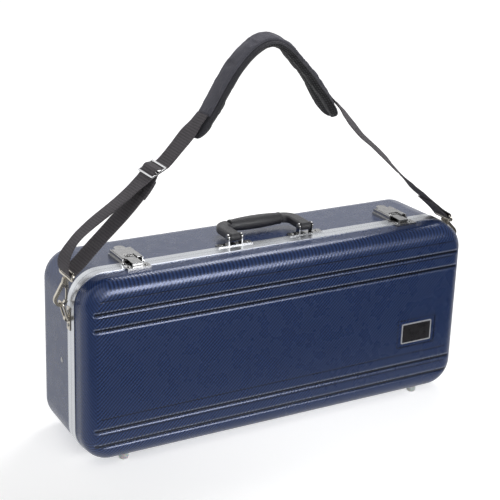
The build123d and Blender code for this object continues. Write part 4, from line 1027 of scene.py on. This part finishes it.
# A wide pale floor under the case
def makeFloor():
    look, reach = floorLook, floorLook["reach"]
    corners = [(-reach, -reach, 0), (reach, -reach, 0), (reach, reach, 0), (-reach, reach, 0)]
    floor = meshObject("floor", corners, [(0, 1, 2, 3)], smooth=False)
    material, tree, shader = surface(
        "pale_floor", Roughness=0.9, Specular_IOR_Level=0.2, Emission_Color="#ffffff"
    )
    here = place(tree)
    x, y = add(tree, "SeparateXYZ", (here,), None)[:2]
    rays = add(tree, "LightPath", output=None)
    glossy = rays["Is Glossy Ray"]
    cloud = add(tree, "TexNoise", {"Vector": here, "Scale": look["cloud"]})
    pale = add(tree, "Mix", {0: cloud, 6: look["pale"][0], 7: look["pale"][1]}, **inColour)

    away = add(tree, "VectorMath", (here,), "Value", operation="LENGTH")
    far = add(tree, "MapRange", (away, *look["far"]), **smooth)
    # A painted shadow on the floor: the glow is lower round a centre to the left of the case and in front of
    # it
    fromSpot = add(tree, "VectorMath", (here, look["paintedShadowCentre"]), "Value", operation="DISTANCE")
    paintedShadow = add(tree, "MapRange", (fromSpot, *look["paintedShadow"]), **smooth)
    far = add(tree, "Math", (far, paintedShadow), operation="MULTIPLY")
    seen = add(tree, "Math", (rays["Is Camera Ray"], rays["Is Transmission Ray"]), operation="MAXIMUM")
    seen = add(tree, "Math", (seen, far), operation="MULTIPLY")

    behind = add(tree, "MapRange", (y, *look["behind"]), **smooth)
    before = add(tree, "Math", (1.0, behind), operation="SUBTRACT")
    before = add(tree, "Math", (before, 0.0), operation="MAXIMUM")
    front = add(tree, "MapRange", (x, *look["front"]), **smooth)
    front = add(tree, "Math", (front, before), operation="MULTIPLY")
    nearest = add(tree, "MapRange", (y, *look["nearest"]), **smooth)
    front = add(tree, "Math", (front, nearest), operation="MAXIMUM")
    mirrored = add(tree, "Math", (behind, look["behindGain"], front), operation="MULTIPLY_ADD")
    mirrored = add(tree, "Math", (glossy, mirrored), operation="MULTIPLY")
    glow = add(tree, "Math", (seen, mirrored), operation="MAXIMUM")
    fill(
        tree, shader, Base_Color=add(tree, "Mix", {0: glossy, 6: pale, 7: "#000000"}, **inColour),
        Emission_Strength=add(tree, "Math", (glow, look["glow"]), operation="MULTIPLY"),
    )
    floor.data.materials.append(material)


# Places, aims and sizes in metres, power in watts; the strip shows in reflections only
lamps = {
    "key": {"place": (-1.0, -1.2, 1.7), "aim": (-0.1, 0, 0.15), "size": (1.3, 1.3), "power": 7},
    "window": {"place": (-0.15, -1.9, 1.0), "aim": (-0.2, 0, 0.2), "size": (1.0, 1.0), "power": 9},
    "strip": {
        "place": (0.52, -1.8, 0.75), "aim": (0, -0.1, 0.25), "size": (0.85, 0.75), "power": 26,
        "mirroredOnly": True,
    },
    "rim": {"place": (1.0, 0.9, 2.0), "aim": (0, 0, 0.2), "size": (0.8, 0.8), "power": 17},
}


# A rectangular light that faces its aim
def softbox(name, place, aim, size, power, mirroredOnly=False):
    data = bpy.data.lights.new(name, "AREA")
    data.shape = "RECTANGLE"
    data.size, data.size_y = size
    data.energy = power
    light = bpy.data.objects.new(name, data)
    light.location = place
    light.rotation_mode = "QUATERNION"
    light.rotation_quaternion = (Vector(aim) - Vector(place)).to_track_quat("-Z", "Y")
    light.visible_diffuse = not mirroredOnly
    scene.collection.objects.link(light)


# Wall is where the low wall's upper edge fades out. The edge falls by fall for each radian that the
# direction lies to the right of turn.
worldLook = {
    "seen": "#fbfbfb", "plain": 0.35, "back": (-0.1, 0.4, 0.0, 1.0), "turn": 0.4, "fall": 0.5,
    "wall": (0.41, 0.5, 1.0, 0.0), "mirrored": (0.0, 1.0, 0.2, 1.12),
}


# White behind the case. Reflections see a dim ceiling and a bright low wall at the back, higher on the left.
def makeWorld():
    look = worldLook
    world = bpy.data.worlds.new("studio")
    world.use_nodes = True
    scene.world = world
    tree = world.node_tree
    tree.nodes.clear()
    x, y, z = add(tree, "SeparateXYZ", (add(tree, "TexCoord", output="Generated"),), None)
    turn = add(tree, "Math", (x, y), operation="ARCTAN2")
    turn = add(tree, "Math", (turn, look["turn"]), operation="SUBTRACT")
    slope = add(tree, "Math", (turn, look["fall"], z), operation="MULTIPLY_ADD")
    wall = add(tree, "MapRange", (slope, *look["wall"]), **smooth)
    back = add(tree, "MapRange", (y, *look["back"]), **smooth)
    wall = add(tree, "Math", (back, wall), operation="MULTIPLY")
    glossy = add(tree, "MapRange", (wall, *look["mirrored"]), **smooth)
    rays = add(tree, "LightPath", output=None)
    plain = add(tree, "Background", {"Color": "#ffffff", "Strength": look["plain"]})
    mirrored = add(tree, "Background", {"Color": "#ffffff", "Strength": glossy})
    seen = add(tree, "Background", {"Color": look["seen"], "Strength": 1.0})
    lighting = add(tree, "MixShader", (rays["Is Glossy Ray"], plain, mirrored))
    last = add(tree, "MixShader", (rays["Is Camera Ray"], lighting, seen))
    add(tree, "OutputWorld", (last,), None)


makeFloor()
makeWorld()
for name, settings in lamps.items():
    softbox(name, **settings)
scene.view_settings.view_transform = "Standard"
print("stage made")
